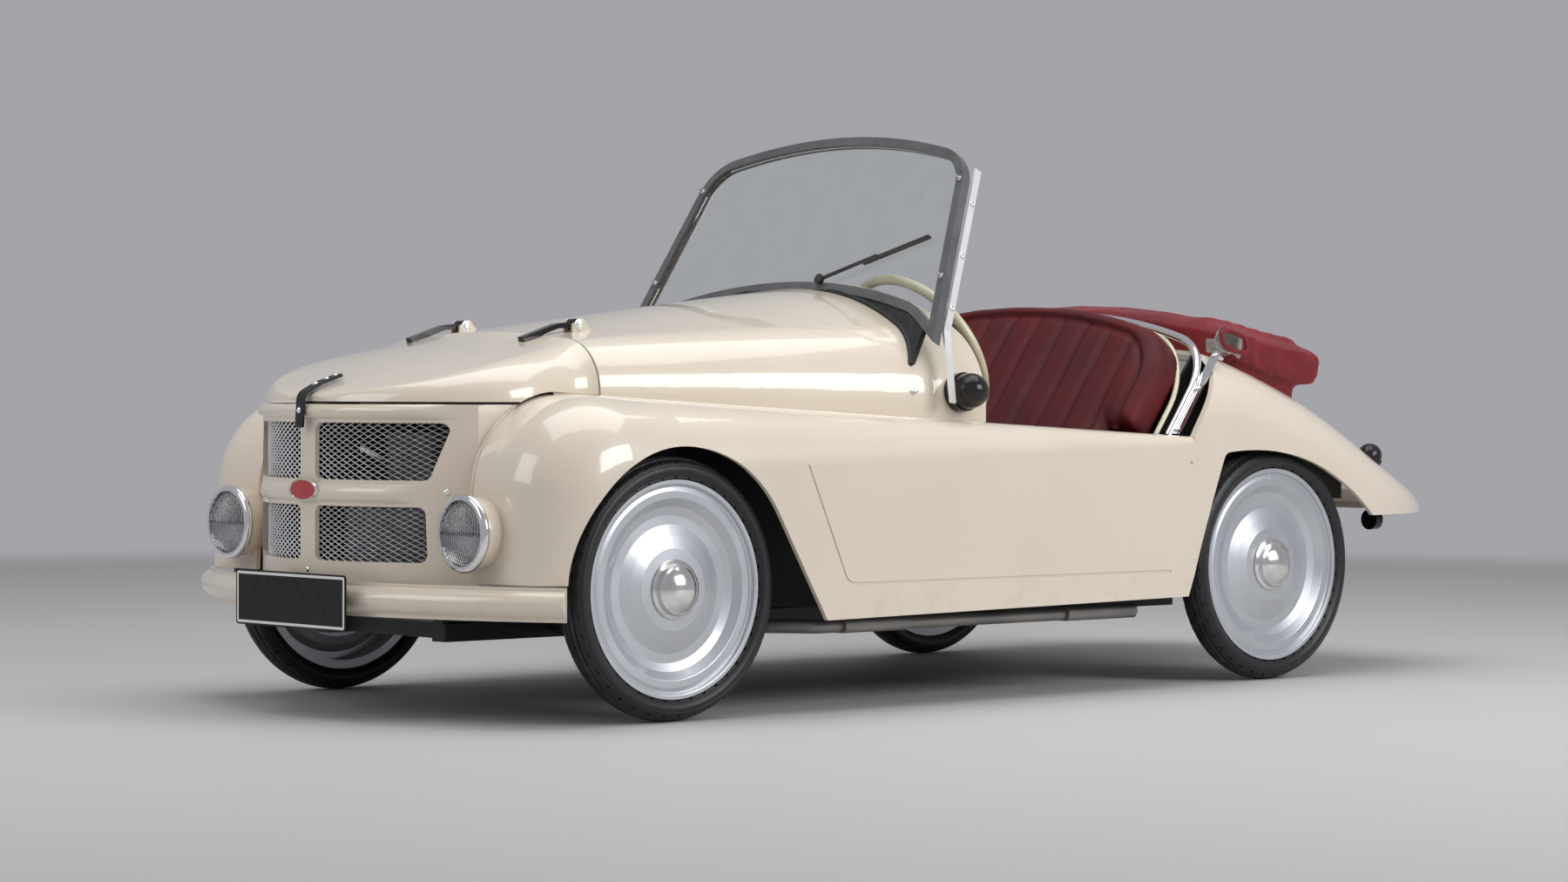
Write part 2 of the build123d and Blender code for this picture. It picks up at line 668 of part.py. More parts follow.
# Bench seat: cushion and a leaning back with rounded top corners.
seat_normal = Vector(0.803, 0, 0.595)
seat_plane = Plane(origin=(tail_front_x + 32, 0, edge_z), x_dir=(0, 1, 0), z_dir=seat_normal)
seat_half = 500.0
seat_top = 312.0
seat_side = 212.0
seat_corner = 130.0
with BuildPart() as seat_back:
    with BuildSketch(seat_plane) as back_face:
        with BuildLine():
            Polyline((-seat_half, seat_side), (-seat_half, 30), (-440, 0), (-440, -170), (440, -170), (440, 0),
                     (seat_half, 30), (seat_half, seat_side))
            ThreePointArc((seat_half, seat_side), (0, seat_top), (-seat_half, seat_side))
        make_face()
        fillet(back_face.vertices().group_by(Axis.Y)[-1], seat_corner)
    extrude(amount=85)
    fillet(seat_back.faces().sort_by(lambda f: f.center().dot(seat_normal))[-1].edges(), 30)
keep(seat_back.part, "seat_back")

with BuildPart() as seat_cushion:
    with BuildSketch(side_plane(445.0)):
        with BuildLine():
            Polyline((-20, floor_z + floor_thick + seat_gap), (-20, 375), (-215, 358), (-380, 300),
                     (-380, floor_z + floor_thick + seat_gap), close=True)
        make_face()
    extrude(amount=890)
    fillet(seat_cushion.edges().filter_by(Axis.Y).sort_by(lambda e: e.center().X + e.center().Z)[-1], 45)
keep(seat_cushion.part, "seat_cushion")

# Folded hood: bow tube round the seat back, flat links, and the rolled cloth on the tail.
bow_half = seat_half + 24
bow_top = seat_top + 26
bow_side = seat_side + 22
with BuildPart() as hood_bow:
    bow_plane = seat_plane.offset(-15)
    with BuildLine(bow_plane) as bow_line:
        Line((-bow_half, 12), (-bow_half, bow_side))
        ThreePointArc((-bow_half, bow_side), (0, bow_top), (bow_half, bow_side))
        Line((bow_half, bow_side), (bow_half, 12))
        fillet(bow_line.vertices().group_by(Axis.Z)[1], seat_corner + 24)
    with BuildSketch(Plane(origin=bow_line.line @ 0, z_dir=bow_line.line % 0)):
        Circle(9)
    sweep(path=bow_line.line)
    with BuildSketch(seat_plane.offset(-22)):
        with Locations((bow_half + 14, 130), (-bow_half - 14, 130)):
            SlotOverall(220, 22, rotation=90)
    extrude(amount=4)
keep(hood_bow.part, "hood_bow")

# The cloth arches across the car, and its front fold is an open sleeve at both ends.
roll_half = 455.0
roll_arch = 1850.0
roll_core = 400.0
sleeve_deep = 60.0
roll_corners = [(-682.0, 769.0), (-672.0, 826.0), (-1055.0, 758.0), (-1060.0, 668.0)]
sleeve_corners = [(-689.0, 720.0), (-681.0, 761.0), (-764.0, 744.0), (-768.0, 704.0)]
core_corners = [(-700.0, 640.0), (-700.0, 790.0), (-1000.0, 740.0), (-1000.0, 540.0)]
roll_axis_z = roll_corners[1][1] - roll_arch
with BuildPart() as hood_roll:
    for turn in (1, -1):
        with BuildSketch(Plane.XZ):
            with BuildLine():
                FilletPolyline(*roll_corners, radius=27, close=True)
            make_face()
        revolve(axis=Axis((0, 0, roll_axis_z), (turn, 0, 0)), revolution_arc=degrees(asin(roll_half / roll_arch)))
    with BuildSketch(side_plane(roll_core)):
        with BuildLine():
            Polyline(*core_corners, close=True)
        make_face()
    extrude(amount=2 * roll_core)
    for side in (1, -1):
        with BuildSketch(side_plane(side * (roll_half + 20))):
            with BuildLine():
                FilletPolyline(*sleeve_corners, radius=18, close=True)
            make_face()
        extrude(amount=side * (sleeve_deep + 20), mode=Mode.SUBTRACT)
    add(tail_outer, mode=Mode.SUBTRACT)
keep(hood_roll.part, "hood_roll")

# Steering wheel on its column.
column_tilt = radians(30)
column_axis = Vector(cos(column_tilt), 0, -sin(column_tilt))
hub_place = Vector(-35.0, driver_y, 702.0)
column_plane = Plane(origin=hub_place, x_dir=(0, 1, 0), z_dir=column_axis)
wheel_rim_radius = 178.0
with BuildPart() as steering_wheel:
    with BuildSketch(Plane(origin=hub_place, x_dir=(0, 1, 0), z_dir=column_plane.y_dir)):
        with Locations((wheel_rim_radius, 0)):
            Circle(11)
    revolve(axis=Axis(hub_place, column_axis))
    with BuildSketch(column_plane.offset(-8)):
        Circle(30)
    extrude(amount=40)
    with BuildSketch(column_plane.offset(-4)):
        for turn in (0, 180, 270):
            with Locations(Location((0, 0), turn)):
                with Locations((wheel_rim_radius / 2, 0)):
                    Rectangle(wheel_rim_radius, 24)
    extrude(amount=8)
    with BuildSketch(column_plane.offset(32)):
        Circle(12)
    extrude(amount=120)
keep(steering_wheel.part, "steering_wheel")

with BuildPart() as steering_column:
    with BuildSketch(column_plane.offset(34)):
        Circle(19)
        Circle(12 + run_gap, mode=Mode.SUBTRACT)
    extrude(amount=160)
    with BuildSketch(column_plane.offset(194)):
        Circle(19)
    extrude(amount=700)
    with Locations((480, 0, 0)):
        Box(764, 1200, 2 * 900, mode=Mode.INTERSECT)
keep(steering_column.part, "steering_column")

# Lamps of black moulding on the cowl's sides and on the tail.


def dome(place, direction, base_radius, foot, skirt, height):
    # Domed lamp standing on a foot ring, its axis along the given direction.
    axis = Vector(*direction).normalized()
    across = axis.cross(Vector(1, 0, 0.001)).normalized()
    plane = Plane(origin=place, x_dir=axis, z_dir=axis.cross(across))
    neck = base_radius - 4
    with BuildPart() as lamp:
        with BuildSketch(plane):
            with BuildLine():
                Polyline((height, 0), (-25, 0), (-25, base_radius), (foot, base_radius), (foot, neck + 1), (skirt, neck))
                ThreePointArc((skirt, neck), dome_middle(skirt, neck, height), (height, 0))
            make_face()
        revolve(axis=Axis(place, axis))
    return lamp.part


with BuildPart() as side_lamps:
    for side in (1, -1):
        add(dome((133.0, side * 486.0, 622.0), (0, side, 0.12), 40, 6, 26, 58))
    add(barrel, mode=Mode.SUBTRACT)
    for block in both_sides:
        add(block, mode=Mode.SUBTRACT)
keep(side_lamps.part, "side_lamps")

with BuildPart() as tail_lamps:
    for side in (1, -1):
        add(dome((-1165.0, side * 470.0, 474.0), (-0.45, side * 0.25, 1), 31, 6, 12, 34))
    add(tail_outer, mode=Mode.SUBTRACT)
keep(tail_lamps.part, "tail_lamps")

with BuildPart() as tail_reflectors:
    for side in (1, -1):
        with BuildSketch(cross_plane(-1226.0)):
            with Locations((side * 440.0, 334.0)):
                Circle(23)
        extrude(amount=22)
        with Locations((-1218.0, side * 440.0, 356.0)):
            Box(6, 30, 40)
    add(tail.part, mode=Mode.SUBTRACT)
keep(tail_reflectors.part, "tail_reflectors")

# Bonnet hinge: brackets on the cowl, arms on the bonnet, and the rubber strap at its front.
hinge_x = 905.0
hinge_z = 753.0
hinge_y = 181.0
hinge_pin_radius = 5.0
with BuildPart() as hinge_brackets:
    for side in (1, -1):
        for lug in (-14.0, 14.0):
            with BuildSketch(side_plane(side * hinge_y + lug + 3)):
                with BuildLine():
                    Polyline((hinge_x - 45, 715), (hinge_x + 16, 715), (hinge_x + 14, hinge_z), (hinge_x - 10, hinge_z + 12),
                             (hinge_x - 34, hinge_z - 14), close=True)
                make_face()
            extrude(amount=6)
        with BuildSketch(side_plane(side * hinge_y + 17)):
            with Locations((hinge_x, hinge_z)):
                Circle(hinge_pin_radius)
        extrude(amount=34)
    add(barrel, mode=Mode.SUBTRACT)
keep(hinge_brackets.part, "hinge_brackets")

with BuildPart() as bonnet_hinge_arms:
    for side in (1, -1):
        with BuildSketch(side_plane(side * hinge_y + 9)):
            with BuildLine() as arm_run:
                FilletPolyline((hinge_x, hinge_z), (hinge_x + 45, hinge_z - 4), (1035.0, 722.0), radius=40)
            trace(arm_run.line, line_width=10)
            with Locations((hinge_x, hinge_z)):
                Circle(11)
                Circle(hinge_pin_radius + run_gap, mode=Mode.SUBTRACT)
        extrude(amount=18)
    add(bonnet_outer, mode=Mode.SUBTRACT)
keep(bonnet_hinge_arms.part, "bonnet_hinge_arms")

strap_width = 22.0
with BuildPart() as bonnet_strap:
    with BuildSketch(side_plane(strap_width / 2)):
        with BuildLine() as strap_run:
            FilletPolyline((1335.0, 652.0), (1384.0, 636.0), (1424.0, 616.0), (1428.0, 552.0), radius=22)
        trace(strap_run.line, line_width=6)
    extrude(amount=strap_width)
    add(bonnet_outer, mode=Mode.SUBTRACT)
keep(bonnet_strap.part, "bonnet_strap")

# Chassis: two box rails, cross members, bumper brackets, axle hangers and jacking pads.
rail_y = 190.0
rail_size = (40.0, 34.0)
rail_low_z = 145.0
rail_front_x = 1240.0
rail_rear_x = -800.0
beam_radius = 21.0
beam_z = 172.0
pad_x = (560.0, -330.0)
pad_size = (90.0, 60.0, 8.0)
with BuildPart() as chassis:
    rail_mid_z = rail_low_z + rail_size[1] / 2
    for side in (1, -1):
        with Locations(((rail_front_x + rail_rear_x) / 2, side * rail_y, rail_mid_z)):
            Box(rail_front_x - rail_rear_x, *rail_size)
        with Locations((1310.0, side * rail_y, 227.0)):
            Box(170, 30, 25)
        with Locations((1232.0, side * rail_y, 206.0)):
            Box(16, 30, 66)
        with Locations((rear_axle_x, side * rail_y, 214.0)):
            Box(56, 36, 80)
        for x in pad_x:
            with Locations((x, side * rail_y, rail_low_z - pad_size[2] / 2)):
                Box(*pad_size)
    for x in (1180.0, 600.0, -380.0, -790.0):
        with Locations((x, 0, rail_mid_z)):
            Box(36, 2 * rail_y, 30)
    for x, z in ((front_axle_x, beam_z), (rear_axle_x, axle_z)):
        with Locations(Location((x, 0, z), (90, 0, 0))):
            Cylinder(beam_radius + seat_gap, 1200, mode=Mode.SUBTRACT)
    add(bumper.part, mode=Mode.SUBTRACT)
keep(chassis.part, "chassis")

# Engine and gearbox, one plain block over the front rails.
with BuildPart() as engine:
    with Locations((1120.0, 0, 290.0)):
        Box(200, 300, 221.4)
    with Locations((1130.0, 40.0, 470.0)):
        Box(150, 150, 140)
    fillet(engine.edges().filter_by(Axis.Z), 18)
keep(engine.part, "engine")

# Exhaust under the left sill, with two silencers.
pipe_y = 512.0
pipe_z = 163.0
with BuildPart() as exhaust:
    with BuildLine() as pipe_run:
        FilletPolyline((1060.0, 150.3, 234.0), (1060.0, 262.0, 234.0), (925.0, 264.0, 228.0), (866.0, 268.0, pipe_z),
                       (690.0, 290.0, pipe_z), (620.0, 440.0, pipe_z), (560.0, pipe_y, pipe_z),
                       (-345.0, pipe_y, pipe_z), radius=28)
    with BuildSketch(Plane(origin=pipe_run.line @ 0, z_dir=pipe_run.line % 0)):
        Circle(14)
    sweep(path=pipe_run.line)
    for front, length in ((500.0, 170.0), (-130.0, 205.0)):
        with BuildSketch(cross_plane(front - length)):
            with Locations((pipe_y, pipe_z)):
                RectangleRounded(44, 30, 12)
        extrude(amount=length)
keep(exhaust.part, "exhaust")

# Axles. The front one carries a yoke and a king pin at each end, the rear one two stubs.
king_y = wheel_y - 60.0
king_radius = 9.0
stub_radius = 15.0
stub_end_y = wheel_y + 16.0
with BuildPart() as front_axle:
    with Locations(Location((front_axle_x, 0, beam_z), (90, 0, 0))):
        Cylinder(beam_radius, 2 * (king_y - 32))
    for side in (1, -1):
        with Locations((front_axle_x, side * (king_y - 37), 245.0)):
            Box(26, 14, 170)
        for low_z in (168.0, 302.0):
            with BuildSketch(Plane.XY.offset(low_z)):
                with Locations((front_axle_x, side * king_y)):
                    Circle(20)
                with Locations((front_axle_x, side * (king_y - 18))):
                    Rectangle(40, 36)
            extrude(amount=28)
        with BuildSketch(Plane.XY.offset(170.0)):
            with Locations((front_axle_x, side * king_y)):
                Circle(king_radius)
        extrude(amount=155)
keep(front_axle.part, "front_axle")

with BuildPart() as rear_axle:
    with Locations(Location((rear_axle_x, 0, axle_z), (90, 0, 0))):
        Cylinder(beam_radius, 2 * (wheel_y - 36))
        Cylinder(stub_radius, 2 * stub_end_y)
keep(rear_axle.part, "rear_axle")

# Steering knuckles and the tie rod under their arms.
arm_reach = (-110.0, -25.0)
rod_z = 191.5
for name, side in (("knuckle_left", 1), ("knuckle_right", -1)):
    with BuildPart() as knuckle:
        with BuildSketch(Plane.XY.offset(200.0)):
            with Locations((front_axle_x, side * king_y)):
                Circle(19)
        extrude(amount=98)
        with BuildSketch(spin_plane(front_axle_x, side * king_y, axle_z, side)):
            with BuildLine():
                Polyline((0, 0), (0, 22), (24, 22), (24, stub_radius), (stub_end_y - king_y, stub_radius),
                         (stub_end_y - king_y, 0), close=True)
            make_face()
        revolve(axis=axle_line(front_axle_x, 0, axle_z))
        with BuildSketch(Plane.XY.offset(204.0)):
            with BuildLine() as arm_line:
                Line((front_axle_x, side * king_y), (front_axle_x + arm_reach[0], side * (king_y + arm_reach[1])))
            trace(arm_line.line, line_width=20)
            with Locations((front_axle_x + arm_reach[0], side * (king_y + arm_reach[1]))):
                Circle(15)
        extrude(amount=14)
        with BuildSketch(Plane.XY.offset(150.0)):
            with Locations((front_axle_x, side * king_y)):
                Circle(king_radius + run_gap)
        extrude(amount=200, mode=Mode.SUBTRACT)
    keep(knuckle.part, name)

with BuildPart() as tie_rod:
    rod_x = front_axle_x + arm_reach[0]
    rod_end = king_y + arm_reach[1]
    with Locations(Location((rod_x, 0, rod_z), (90, 0, 0))):
        Cylinder(7, 2 * rod_end)
    for side in (1, -1):
        with BuildSketch(Plane.XY.offset(rod_z - 10)):
            with Locations((rod_x, side * rod_end)):
                Circle(14)
        extrude(amount=19)
keep(tie_rod.part, "tie_rod")

# Wheels: stepped steel disc with its drum, ribbed tyre and domed hubcap.
disc_face = [(25, 207), (25, 199), (17, 195), (20, 186), (20, 172), (8, 156), (2, 140), (3, 122), (11, 100), (18, 78),
             (20, 58), (20, 40)]
disc_back = [(15, 70), (7, 98), (-1, 121), (-2, 141), (4, 159), (14, 174), (14, 190)]
for corner, x, side in (("fl", front_axle_x, 1), ("fr", front_axle_x, -1), ("rl", rear_axle_x, 1), ("rr", rear_axle_x, -1)):
    plane = spin_plane(x, side * wheel_y, axle_z, side)
    axis = axle_line(x, 0, axle_z)
    with BuildPart() as tyre:
        with BuildSketch(plane):
            with BuildLine():
                half = tyre_width / 2
                bead = 22 - seat_gap
                Polyline((-bead, 208), (-bead, 199), (bead, 199), (bead, 208))
                ThreePointArc((bead, 208), (half, 224), (25, 242))
                ThreePointArc((25, 242), (0, tyre_radius), (-25, 242))
                ThreePointArc((-25, 242), (-half, 224), (-bead, 208))
            make_face()
        revolve(axis=axis)
    keep(tyre.part, f"tyre_{corner}")

    with BuildPart() as disc:
        bore = stub_radius + run_gap
        with BuildSketch(plane):
            with BuildLine():
                FilletPolyline(*disc_face, radius=3)
                Polyline(disc_face[-1], (20, bore), (-34, bore), (-34, 60), (14, 60), disc_back[0])
                FilletPolyline(*disc_back, radius=3)
                Polyline(disc_back[-1], (-25, 190), (-25, rim_radius), (-22, rim_radius), (-22, 198.7), (22, 198.7),
                         (22, rim_radius), disc_face[0])
            make_face()
        revolve(axis=axis)
    keep(disc.part, f"disc_{corner}")

    with BuildPart() as hubcap:
        with BuildSketch(plane):
            with BuildLine():
                Polyline((54, 0), (20 + seat_gap, 0), (20 + seat_gap, 56), (24, 56), (27, 50), (37, 47), (39, 43))
                ThreePointArc((39, 43), dome_middle(39, 43, 54), (54, 0))
            make_face()
        revolve(axis=axis)
    keep(hubcap.part, f"hubcap_{corner}")
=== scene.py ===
import math

import bpy
from mathutils import Matrix, Vector
from mathutils import noise as ripple


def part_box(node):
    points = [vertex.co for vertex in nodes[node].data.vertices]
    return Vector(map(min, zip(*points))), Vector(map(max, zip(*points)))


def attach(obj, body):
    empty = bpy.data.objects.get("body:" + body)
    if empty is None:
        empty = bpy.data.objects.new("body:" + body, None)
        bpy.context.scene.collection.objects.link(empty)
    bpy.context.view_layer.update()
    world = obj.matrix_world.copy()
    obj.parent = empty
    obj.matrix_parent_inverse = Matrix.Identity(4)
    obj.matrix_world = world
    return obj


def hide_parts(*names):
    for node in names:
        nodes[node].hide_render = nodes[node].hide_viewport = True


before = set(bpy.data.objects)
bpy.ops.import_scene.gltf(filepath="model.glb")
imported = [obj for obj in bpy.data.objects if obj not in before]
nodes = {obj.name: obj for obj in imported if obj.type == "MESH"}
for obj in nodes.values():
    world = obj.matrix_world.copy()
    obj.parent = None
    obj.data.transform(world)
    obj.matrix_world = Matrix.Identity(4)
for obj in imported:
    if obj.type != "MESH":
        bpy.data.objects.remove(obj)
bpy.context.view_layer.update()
scene = bpy.context.scene
print("roadster: frame loaded,", len(nodes), "solids")

# camera at the photograph's viewing angle
viewPoint = {
    "place": (5.8059, 6.2381, 0.6397),
    "yawDeg": -132.02,
    "pitchDeg": -0.84,
    "roll": 0.003,
    "focalPixels": 4558.24,
    "imageWide": 1800.0,
    "sensorWide": 36.0,
}


def placeCamera(view):
    yaw = math.radians(view["yawDeg"])
    pitch = math.radians(view["pitchDeg"])
    look = Vector((math.cos(yaw) * math.cos(pitch), math.sin(yaw) * math.cos(pitch), math.sin(pitch)))
    side = look.cross(Vector((0, 0, 1))).normalized()
    top = side.cross(look)
    right = side * math.cos(view["roll"]) + top * math.sin(view["roll"])
    up = top * math.cos(view["roll"]) - side * math.sin(view["roll"])
    bpy.ops.object.camera_add()
    camera = bpy.context.object
    camera.name = "photoCamera"
    camera.data.sensor_width = view["sensorWide"]
    camera.data.lens = view["sensorWide"] * view["focalPixels"] / view["imageWide"]
    turn = Matrix((right, up, -look)).transposed().to_4x4()
    camera.matrix_world = Matrix.Translation(Vector(view["place"])) @ turn
    scene.camera = camera


placeCamera(viewPoint)
print("roadster: camera placed")


# a socket with arithmetic; every other node comes from its node method
class Wire:
    def __init__(self, tree, socket):
        self.tree = tree
        self.socket = socket

    def node(self, kind, settings, values, output=0):
        made = self.tree.nodes.new(kind)
        for name, setting in settings.items():
            setattr(made, name, setting)
        for key, value in values.items():
            if isinstance(value, Wire):
                self.tree.links.new(value.socket, made.inputs[key])
            else:
                made.inputs[key].default_value = value
        return Wire(self.tree, made.outputs[output])

    def maths(self, operation, first, second=0.0):
        return self.node("ShaderNodeMath", {"operation": operation}, {0: first, 1: second})

    def __add__(self, other):
        return self.maths("ADD", self, other)

    def __sub__(self, other):
        return self.maths("SUBTRACT", self, other)

    def __rsub__(self, other):
        return self.maths("SUBTRACT", other, self)

    def __mul__(self, other):
        return self.maths("MULTIPLY", self, other)

    def __abs__(self):
        return self.maths("ABSOLUTE", self)

    def root(self):
        return self.maths("SQRT", self)

    def sine(self):
        return self.maths("SINE", self)

    def atLeast(self, other):
        return self.maths("MAXIMUM", self, other)

    def atMost(self, other):
        return self.maths("MINIMUM", self, other)

    __radd__ = __add__
    __rmul__ = __mul__

    def between(self, low, high):
        ramp = {0: self, 1: low, 2: high, 3: 0.0, 4: 1.0}
        return self.node("ShaderNodeMapRange", {"interpolation_type": "SMOOTHSTEP"}, ramp)

    def axis(self, index):
        return self.node("ShaderNodeSeparateXYZ", {}, {0: self}, index)

    def cloud(self, scale, detail=4.0):
        return self.node("ShaderNodeTexNoise", {}, {"Vector": self, "Scale": scale, "Detail": detail})

    def cells(self, scale):
        edges = {"feature": "DISTANCE_TO_EDGE"}
        return self.node("ShaderNodeTexVoronoi", edges, {"Vector": self, "Scale": scale})

    def blendTo(self, first, second):
        return self.node("ShaderNodeMix", {"data_type": "RGBA"}, {0: self, 6: first, 7: second}, 2)

    def bump(self, strength, depth):
        return self.node("ShaderNodeBump", {}, {"Strength": strength, "Distance": depth, "Height": self})

    def feed(self, shader, socket):
        self.tree.links.new(self.socket, shader.inputs[socket])


finishes = {}


def startFinish(name, fixed):
    finishes[name] = bpy.data.materials.new(name)
    finishes[name].use_nodes = True
    tree = finishes[name].node_tree
    shader = tree.nodes["Principled BSDF"]
    for socket, value in fixed.items():
        shader.inputs[socket].default_value = value
    place = Wire(tree, tree.nodes.new("ShaderNodeTexCoord").outputs["Object"])
    return shader, place


def tint(red, green, blue):
    return (red, green, blue, 1.0)


# plain finishes share one recipe: two tones, a roughness band and a fine grain
def makeFinish(name, fixed, dark, light, rough, scales, bump):
    shader, place = startFinish(name, fixed)
    patch = place.cloud(scales[0])
    fine = place.cloud(scales[1], 3.0)
    patch.between(0.3, 0.7).blendTo(tint(*dark), tint(*light)).feed(shader, "Base Color")
    band = (patch * 0.6 + fine * 0.4).between(0.25, 0.75)
    (band * (rough[1] - rough[0]) + rough[0]).feed(shader, "Roughness")
    fine.bump(*bump).feed(shader, "Normal")


# fixed sockets, dark and light tone, roughness band, scales of patches and grain, strength and depth of bump
plainLooks = {
    "chromeTrim": [
        {"Metallic": 1.0},
        (0.82, 0.83, 0.85), (0.9, 0.9, 0.9), (0.05, 0.12), (30.0, 60.0), (0.008, 0.0006),
    ],
    "brightStrip": [
        {"Metallic": 0.45},
        (0.86, 0.87, 0.89), (0.9, 0.905, 0.92), (0.3, 0.36), (12.0, 50.0), (0.006, 0.0006),
    ],
    "silverMesh": [
        {"Metallic": 1.0},
        (0.78, 0.79, 0.82), (0.9, 0.9, 0.92), (0.3, 0.46), (60.0, 120.0), (0.02, 0.0003),
    ],
    "frameGrey": [
        {"Metallic": 0.25, "Coat Weight": 0.3, "Coat Roughness": 0.25},
        (0.10, 0.105, 0.11), (0.135, 0.14, 0.145), (0.34, 0.48), (18.0, 800.0), (0.05, 0.0003),
    ],
    "blackMetal": [
        {"Coat Weight": 0.15, "Coat Roughness": 0.4},
        (0.012, 0.012, 0.012), (0.03, 0.029, 0.028), (0.42, 0.66), (9.0, 300.0), (0.12, 0.0006),
    ],
    "creamPlastic": [
        {"Coat Weight": 0.6, "Coat Roughness": 0.12, "Subsurface Weight": 0.05},
        (0.66, 0.62, 0.42), (0.74, 0.69, 0.5), (0.24, 0.36), (16.0, 500.0), (0.03, 0.0003),
    ],
    "columnBlack": [
        {"Coat Weight": 0.3, "Coat Roughness": 0.2},
        (0.014, 0.014, 0.015), (0.026, 0.026, 0.027), (0.3, 0.45), (20.0, 600.0), (0.05, 0.0003),
    ],
    "lampBlack": [
        {"Coat Weight": 0.4, "Coat Roughness": 0.05, "Specular IOR Level": 0.2},
        (0.010, 0.009, 0.009), (0.017, 0.014, 0.013), (0.2, 0.3), (40.0, 700.0), (0.02, 0.0003),
    ],
    "strapRubber": [
        {"Specular IOR Level": 0.4},
        (0.013, 0.013, 0.014), (0.03, 0.03, 0.031), (0.5, 0.68), (50.0, 1100.0), (0.18, 0.0004),
    ],
    "engineAlloy": [
        {"Metallic": 0.9},
        (0.13, 0.13, 0.13), (0.22, 0.22, 0.225), (0.42, 0.62), (8.0, 420.0), (0.3, 0.0008),
    ],
    "exhaustSteel": [
        {"Metallic": 0.85},
        (0.22, 0.215, 0.21), (0.34, 0.32, 0.3), (0.36, 0.58), (7.0, 380.0), (0.12, 0.0005),
    ],
    "liningGrey": [
        {"Sheen Weight": 0.3},
        (0.30, 0.29, 0.28), (0.42, 0.41, 0.4), (0.75, 0.9), (20.0, 1400.0), (0.5, 0.0005),
    ],
    "redEnamel": [
        {"Coat Weight": 1.0, "Coat Roughness": 0.04},
        (0.42, 0.012, 0.016), (0.5, 0.018, 0.02), (0.18, 0.26), (80.0, 900.0), (0.02, 0.0003),
    ],
}
for finishName, finishLook in plainLooks.items():
    makeFinish(finishName, *finishLook)

# gloss cream body paint: faint mottling, a slight long waviness, road dust along the sills
creamLook = {
    "varnish": {"Coat Weight": 1.0, "Coat Roughness": 0.03, "Coat IOR": 1.5},
    "clean": tint(0.785, 0.70, 0.585),
    "deep": tint(0.77, 0.685, 0.565),
    "dust": tint(0.52, 0.46, 0.37),
    "dustBand": (0.16, 0.3),
    "dustMost": 0.35,
    "rough": 0.26,
    "waveScale": 9.0,
}


def makeCream(look):
    shader, place = startFinish("creamPaint", look["varnish"])
    mottle = place.cloud(5.0).between(0.35, 0.65)
    low = 1.0 - place.axis(2).between(*look["dustBand"])
    dirt = low * place.cloud(26.0, 6.0).between(0.45, 0.8) * look["dustMost"]
    body = mottle.blendTo(look["clean"], look["deep"])
    dirt.blendTo(body, look["dust"]).feed(shader, "Base Color")
    (place.cloud(12.0) * 0.08 + dirt * 0.3 + look["rough"]).feed(shader, "Roughness")
    place.cloud(look["waveScale"], 1.0).bump(0.05, 0.004).feed(shader, "Normal")


makeCream(creamLook)

# wheel positions: both axles sit the same distance either side of the wheelbase's middle
wheelSpots = {"middleX": 0.108, "halfBase": 0.85, "axleZ": 0.25, "outY": 0.53}


def hubRadius(place):
    along = abs(place.axis(0) - wheelSpots["middleX"]) - wheelSpots["halfBase"]
    height = place.axis(2) - wheelSpots["axleZ"]
    return (along * along + height * height).root()


wheelLook = {"bright": tint(0.60, 0.62, 0.66), "dull": tint(0.52, 0.54, 0.58), "flakeScale": 2600.0}


def makeWheelSilver(look):
    shader, place = startFinish("wheelSilver", {"Coat Weight": 0.7, "Coat Roughness": 0.08})
    flake = place.cloud(look["flakeScale"], 2.0)
    patch = place.cloud(12.0)
    speckle = (patch * 0.5 + flake * 0.5).between(0.3, 0.7)
    speckle.blendTo(look["dull"], look["bright"]).feed(shader, "Base Color")
    (flake * 0.2 + 0.6).feed(shader, "Metallic")
    (patch * 0.14 + 0.3).feed(shader, "Roughness")
    flake.bump(0.06, 0.0003).feed(shader, "Normal")


makeWheelSilver(wheelLook)

hubLook = {"tone": tint(0.84, 0.83, 0.81), "dark": tint(0.7, 0.69, 0.67), "ringPitch": 0.0011}


def makeHubAlloy(look):
    shader, place = startFinish("hubcapAlloy", {"Metallic": 1.0})
    radius = hubRadius(place)
    spun = (radius * (math.tau / look["ringPitch"])).sine()
    smear = place.cloud(40.0)
    smear.between(0.35, 0.7).blendTo(look["tone"], look["dark"]).feed(shader, "Base Color")
    (smear * 0.12 + 0.08).feed(shader, "Roughness")
    (spun * 0.5 + place.cloud(300.0)).bump(0.035, 0.0003).feed(shader, "Normal")


makeHubAlloy(hubLook)

tyreLook = {
    "clean": tint(0.012, 0.0125, 0.014),
    "dusty": tint(0.045, 0.043, 0.04),
    "crown": (0.240, 0.249),
}


def makeTyreBlack(look):
    shader, place = startFinish("tyreBlack", {"Specular IOR Level": 0.45})
    crown = hubRadius(place).between(*look["crown"])
    dust = crown * place.cloud(50.0, 6.0).between(0.35, 0.7)
    dust.blendTo(look["clean"], look["dusty"]).feed(shader, "Base Color")
    (dust * 0.3 + place.cloud(90.0) * 0.16 + 0.34).feed(shader, "Roughness")
    place.cloud(1500.0, 3.0).bump(0.1, 0.0004).feed(shader, "Normal")


makeTyreBlack(tyreLook)

# both leather tones, deep and lit, are darkened as painted shade over the seat; the patches between them
# differ at random, and the worn tone is real wear
leatherLook = {
    "deep": tint(0.075, 0.003, 0.005),
    "lit": tint(0.12, 0.005, 0.008),
    "worn": tint(0.15, 0.01, 0.013),
    "poreScale": 620.0,
    "creaseScale": 150.0,
}


